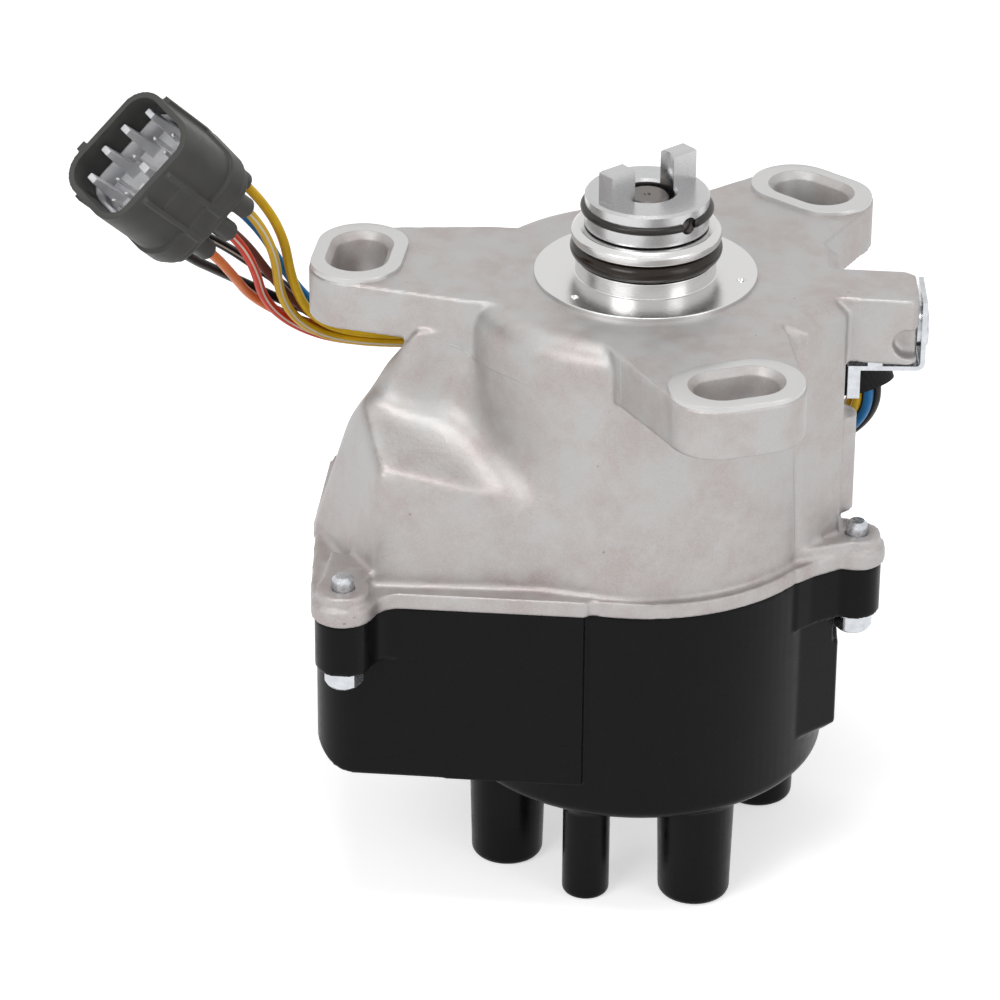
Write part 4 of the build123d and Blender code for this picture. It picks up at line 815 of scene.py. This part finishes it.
def make_turned_nose(material):
    """Machined flange ring and spigot with its seal groove."""
    profile = [
        (SEAL_R, -0.004),
        (SEAL_R, SPIGOT_TOP - 0.0006),
        (SEAL_R + 0.0006, SPIGOT_TOP),
        (RIM_R - 0.0012, SPIGOT_TOP),
        (RIM_R, SPIGOT_TOP - 0.0012),
        (RIM_R, GROOVE_HIGH + 0.0003),
        (RIM_R - 0.0003, GROOVE_HIGH),
        (GROOVE_R, GROOVE_HIGH),
        (GROOVE_R, GROOVE_LOW),
        (LAND_R, GROOVE_LOW),
        (LAND_R, 0.0),
        (FLANGE_R, 0.0),
        (FLANGE_R, -0.003),
        (LAND_R, -0.004),
    ]
    mesh = lathe(rounded(profile, 0.00025, 3), 160)
    bm = bmesh.new()
    for angle in PUNCH_ANGLES:
        place = Matrix.Translation(polar(PUNCH_R, angle, 0.0001))
        bmesh.ops.create_icosphere(bm, subdivisions=3, radius=PUNCH_MARK_R, matrix=place)
    punches = bpy.data.meshes.new("punches")
    bm.to_mesh(punches)
    bm.free()
    mesh = without(mesh, punches)
    mesh.shade_smooth()
    level_faces_flat(mesh)
    return add_object("turned_nose", mesh, material, node="housing", smooth=False)


def make_coupling_ring(material):
    """Round wire ring around the coupling, open where its ends don't meet."""
    line = [polar(RING_REACH, DOG_ANGLE - 90 + step, RING_MIDDLE) for step in range(7, 354, 3)]
    mesh = tube_mesh(line, RING_THICK, 16)
    return add_object("wire_ring", mesh, material, "coupling", node="coupling_ring")


def make_brush_spring(material):
    """Coil spring under the brush, wound over the solid spring's height."""
    heights = points_of(frame["nodes"]["brush_spring"].data)[:, 2]
    low, high = float(heights.min()), float(heights.max())
    steps = SPRING_TURNS * 20
    line = []
    for step in range(steps + 1):
        z = low + SPRING_WIRE_R + (high - low - 2 * SPRING_WIRE_R) * step / steps
        line.append(polar(SPRING_REACH, 360 * SPRING_TURNS * step / steps, z))
    mesh = tube_mesh(line, SPRING_WIRE_R, 10)
    made = add_object("coil_spring", mesh, material, node="brush_spring")
    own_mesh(made)


def make_cap(material):
    """The cap with the rounded edges of a moulding."""
    mesh = remeshed_along(frame["nodes"]["distributor_cap"].data.copy(), FRONT_WALL_TURN, CAP_GRID)
    relax(mesh, 6)
    return add_object("moulded_cap", mesh, material, node="distributor_cap")


def connector_turn():
    """Places the connector's own axes, long, wide and deep, in the scene."""
    long = connector_long()
    wide = CONNECTOR_BACK.cross(long)
    turn = Matrix((long, wide, CONNECTOR_BACK)).transposed()
    return Matrix.Translation(CONNECTOR_PLACE) @ turn.to_4x4()


def make_connector(shell_material, insert_material):
    """Connector shell and insert with moulded edges, and the insert's thin rim."""
    turn = connector_turn()
    made = [frame["nodes"]["connector_terminals"]]
    for node, voxel, passes, name, slot, material in (
        ("connector_shell", 0.26 * MM, 4, "moulded_shell", "grey_plastic", shell_material),
        ("connector_insert", 0.2 * MM, 5, "moulded_insert", "insert_plastic", insert_material),
    ):
        mesh = remeshed_along(frame["nodes"][node].data.copy(), turn, voxel)
        relax(mesh, passes)
        made.append(add_object(name, mesh, material, node=node))
    loops = []
    base = INSERT_FLOOR + 0.0003
    for inset, depth in ((0.0001, base), (0.0001, INSERT_RIM), (0.0008, INSERT_RIM), (0.0008, base)):
        half_long = SHELL_LONG / 2 - SHELL_WALL - inset
        half_wide = SHELL_WIDE / 2 - SHELL_WALL - inset
        corner = SHELL_ROUND - SHELL_WALL - inset
        loop = []
        for quarter, (sx, sy) in enumerate(((1, 1), (-1, 1), (-1, -1), (1, -1))):
            for k in range(9):
                angle = math.radians(90 * quarter + 90 * k / 8)
                px = sx * (half_long - corner) + corner * math.cos(angle)
                py = sy * (half_wide - corner) + corner * math.sin(angle)
                loop.append(turn @ Vector((px, py, depth)))
        loops.append(loop)
    made.append(add_object("insert_rim", skin(loops), insert_material))
    return made


def crisp(mesh, degrees=30):
    """Smooth shading that breaks at the mesh's corners."""
    mesh.shade_smooth()
    mesh.set_sharp_from_angle(angle=math.radians(degrees))


def level_faces_flat(mesh):
    """Leaves the faces that lie square to the shaft without smoothing."""
    for face in mesh.polygons:
        if abs(face.normal.z) > 0.999:
            face.use_smooth = False


def make_pad(index, milled, cast):
    """Machined pad around one mounting slot, and the slot's cast walls."""
    reach, angle = EARS[index]
    turn = Matrix.Rotation(math.radians(angle), 4, "Z") @ Matrix.Translation((reach, 0, 0))
    low = CAST_Z - EAR_THICK - 0.00002
    edge = 0.00025
    rings = (
        (PAD_STRAIGHT, PAD_R, CAST_Z - 0.0015),
        (PAD_STRAIGHT, PAD_R, -edge),
        (PAD_STRAIGHT, PAD_R - edge * 0.3, -edge * 0.3),
        (PAD_STRAIGHT, PAD_R - edge, 0.0),
        (SLOT_STRAIGHT, SLOT_R + SLOT_CHAMFER, 0.0),
        (SLOT_STRAIGHT, SLOT_R + SLOT_CHAMFER, -0.0006),
    )
    walls = (
        (SLOT_STRAIGHT, SLOT_R + SLOT_CHAMFER, -0.00005),
        (SLOT_STRAIGHT, SLOT_R + SLOT_CHAMFER - edge, -edge * 1.4),
        (SLOT_STRAIGHT, SLOT_R + edge, -SLOT_CHAMFER),
        (SLOT_STRAIGHT, SLOT_R, -SLOT_CHAMFER - edge * 2),
        (SLOT_STRAIGHT, SLOT_R, low),
        (SLOT_STRAIGHT, SLOT_R + 0.0008, low),
        (SLOT_STRAIGHT, SLOT_R + 0.0008, -SLOT_CHAMFER - 0.0005),
        (SLOT_STRAIGHT, SLOT_R + SLOT_CHAMFER, -0.0009),
    )
    side = ("lower", "rear", "left")[index]
    for name, outline, material, slot in (
        ("pad", rings, milled, "machined"),
        ("slot_wall", walls, cast, "cast"),
    ):
        loops = []
        for straight, radius, z in outline:
            loops.append([turn @ Vector((px, py, z)) for px, py in stadium(straight, radius)])
        mesh = skin(loops)
        crisp(mesh)
        add_object(f"{side}_{name}", mesh, material, node="housing", smooth=False)


# Floor and light

def seen_directly(tree):
    """1 where the camera sees a surface, also in a reflection or through glass, and 0 for the
    light that the surface throws on others."""
    path = tree.nodes.new("ShaderNodeLightPath")
    seen = tree.nodes.new("ShaderNodeMath")
    seen.operation = "MAXIMUM"
    either = tree.nodes.new("ShaderNodeMath")
    either.operation = "MAXIMUM"
    tree.links.new(path.outputs["Is Camera Ray"], seen.inputs[0])
    tree.links.new(path.outputs["Is Transmission Ray"], seen.inputs[1])
    tree.links.new(seen.outputs[0], either.inputs[0])
    tree.links.new(path.outputs["Is Glossy Ray"], either.inputs[1])
    return either.outputs[0]


def make_stage():
    """White floor that keeps the part's shadow and is otherwise as white as the background."""
    bm = bmesh.new()
    corners = ((-1, -1), (1, -1), (1, 1), (-1, 1))
    bm.faces.new([bm.verts.new((x * FLOOR_HALF, y * FLOOR_HALF, FLOOR_Z)) for x, y in corners])
    mesh = bpy.data.meshes.new("floor")
    bm.to_mesh(mesh)
    bm.free()
    floor = bpy.data.objects.new("floor", mesh)
    bpy.context.scene.collection.objects.link(floor)
    material = bpy.data.materials.new("floor")
    material.use_nodes = True
    tree = material.node_tree
    shader = tree.nodes["Principled BSDF"]
    shader.inputs["Base Color"].default_value = (0.93, 0.93, 0.93, 1)
    shader.inputs["Roughness"].default_value = 0.9
    shader.inputs["Specular IOR Level"].default_value = 0.0
    shader.inputs["Emission Color"].default_value = (1, 1, 1, 1)
    glow = tree.nodes.new("ShaderNodeMapRange")
    glow.inputs["To Max"].default_value = FLOOR_GLOW
    tree.links.new(seen_directly(tree), glow.inputs["Value"])
    tree.links.new(glow.outputs["Result"], shader.inputs["Emission Strength"])
    mesh.materials.append(material)


def area_light(name, place, target, size, power):
    data = bpy.data.lights.new(name, "AREA")
    data.shape = "RECTANGLE"
    data.size, data.size_y = size
    data.energy = power
    lamp = bpy.data.objects.new(name, data)
    lamp.location = place
    lamp.rotation_euler = (Vector(target) - Vector(place)).to_track_quat("-Z", "Y").to_euler()
    bpy.context.scene.collection.objects.link(lamp)


def make_light():
    """White surroundings, and three lamps in front of the part and above it."""
    world = bpy.data.worlds.new("studio")
    bpy.context.scene.world = world
    world.use_nodes = True
    tree = world.node_tree
    background = tree.nodes["Background"]
    strength = tree.nodes.new("ShaderNodeMapRange")
    tree.links.new(seen_directly(tree), strength.inputs["Value"])
    strength.inputs["To Min"].default_value = WORLD_LIGHT
    strength.inputs["To Max"].default_value = 1.0
    tree.links.new(strength.outputs["Result"], background.inputs["Strength"])
    background.inputs["Color"].default_value = (1, 1, 1, 1)
    for lamp in LAMPS:
        area_light(*lamp)


def dress_nodes():
    """Gives the pieces that keep their solid shape a fitting material."""
    steel = plated_steel("zinc_steel", (0.60, 0.62, 0.65), 0.26)
    ground = turned_metal("ground_steel", (0.17, 0.155, 0.145), 0.30)
    black = moulded("black_plastic", (0.004, 0.004, 0.0044), 0.3, 0.25, 0.008, 0.11)
    grey = moulded("grey_plastic", (0.066, 0.066, 0.062), 0.5, 0.3, 0.015, 0.25)
    pale = moulded("insert_plastic", (0.68, 0.68, 0.70), 0.35)
    resin = moulded("resin", (0.018, 0.018, 0.02), 0.45, 0.8, 0.05)
    brown = moulded("rotor_plastic", (0.20, 0.05, 0.02), 0.4)
    brass = plated_steel("brass", (0.72, 0.52, 0.22), 0.3)
    bronze = plated_steel("bronze", (0.45, 0.28, 0.13), 0.45)
    iron = plated_steel("iron", (0.22, 0.22, 0.22), 0.5)
    by_slot = {
        "zinc_steel": steel,
        "ground_steel": ground,
        "sintered": plated_steel("sintered", (0.55, 0.55, 0.555), 0.25, 0.25),
        "black_steel": moulded("black_steel", (0.012, 0.010, 0.008), 0.3, gloss=0.4),
        "lamination": iron,
        "bronze": bronze,
        "brass": brass,
        "tin": plated_steel("tin", (0.70, 0.70, 0.70), 0.3),
        "machined": turned_metal("machined", (0.80, 0.80, 0.80), 0.25),
        "cast": cast_metal(),
        "black_plastic": black,
        "rotor_plastic": brown,
        "resin": resin,
        "grey_plastic": grey,
        "insert_plastic": pale,
        "rubber": rubber(),
        "carbon": moulded("carbon", (0.03, 0.03, 0.03), 0.5),
        "sleeve": woven("sleeve", (0.008, 0.008, 0.009)),
    }
    slots = {entry["node"]: entry["material_slot"] for entry in frame["record"]["subparts"]}
    for name, node in frame["nodes"].items():
        material = by_slot.get(slots[name])
        if material is None:
            continue
        node.data.materials.clear()
        node.data.materials.append(material)
    return by_slot


make_camera()
finishes = dress_nodes()
sleeve_piece = make_sleeve(finishes["sleeve"])
connector_pieces = make_connector(finishes["grey_plastic"], finishes["insert_plastic"])
make_wires()
casting = make_casting(finishes["cast"])
make_flash(casting, finishes["cast"])
make_turned_nose(turned_metal())
make_coupling_ring(finishes["black_steel"])
make_brush_spring(finishes["ground_steel"])
make_cap(finishes["black_plastic"])
milled = milled_metal()
for ear in range(len(EARS)):
    make_pad(ear, milled, finishes["cast"])
make_stage()
make_light()

bpy.context.scene.view_settings.view_transform = "Standard"
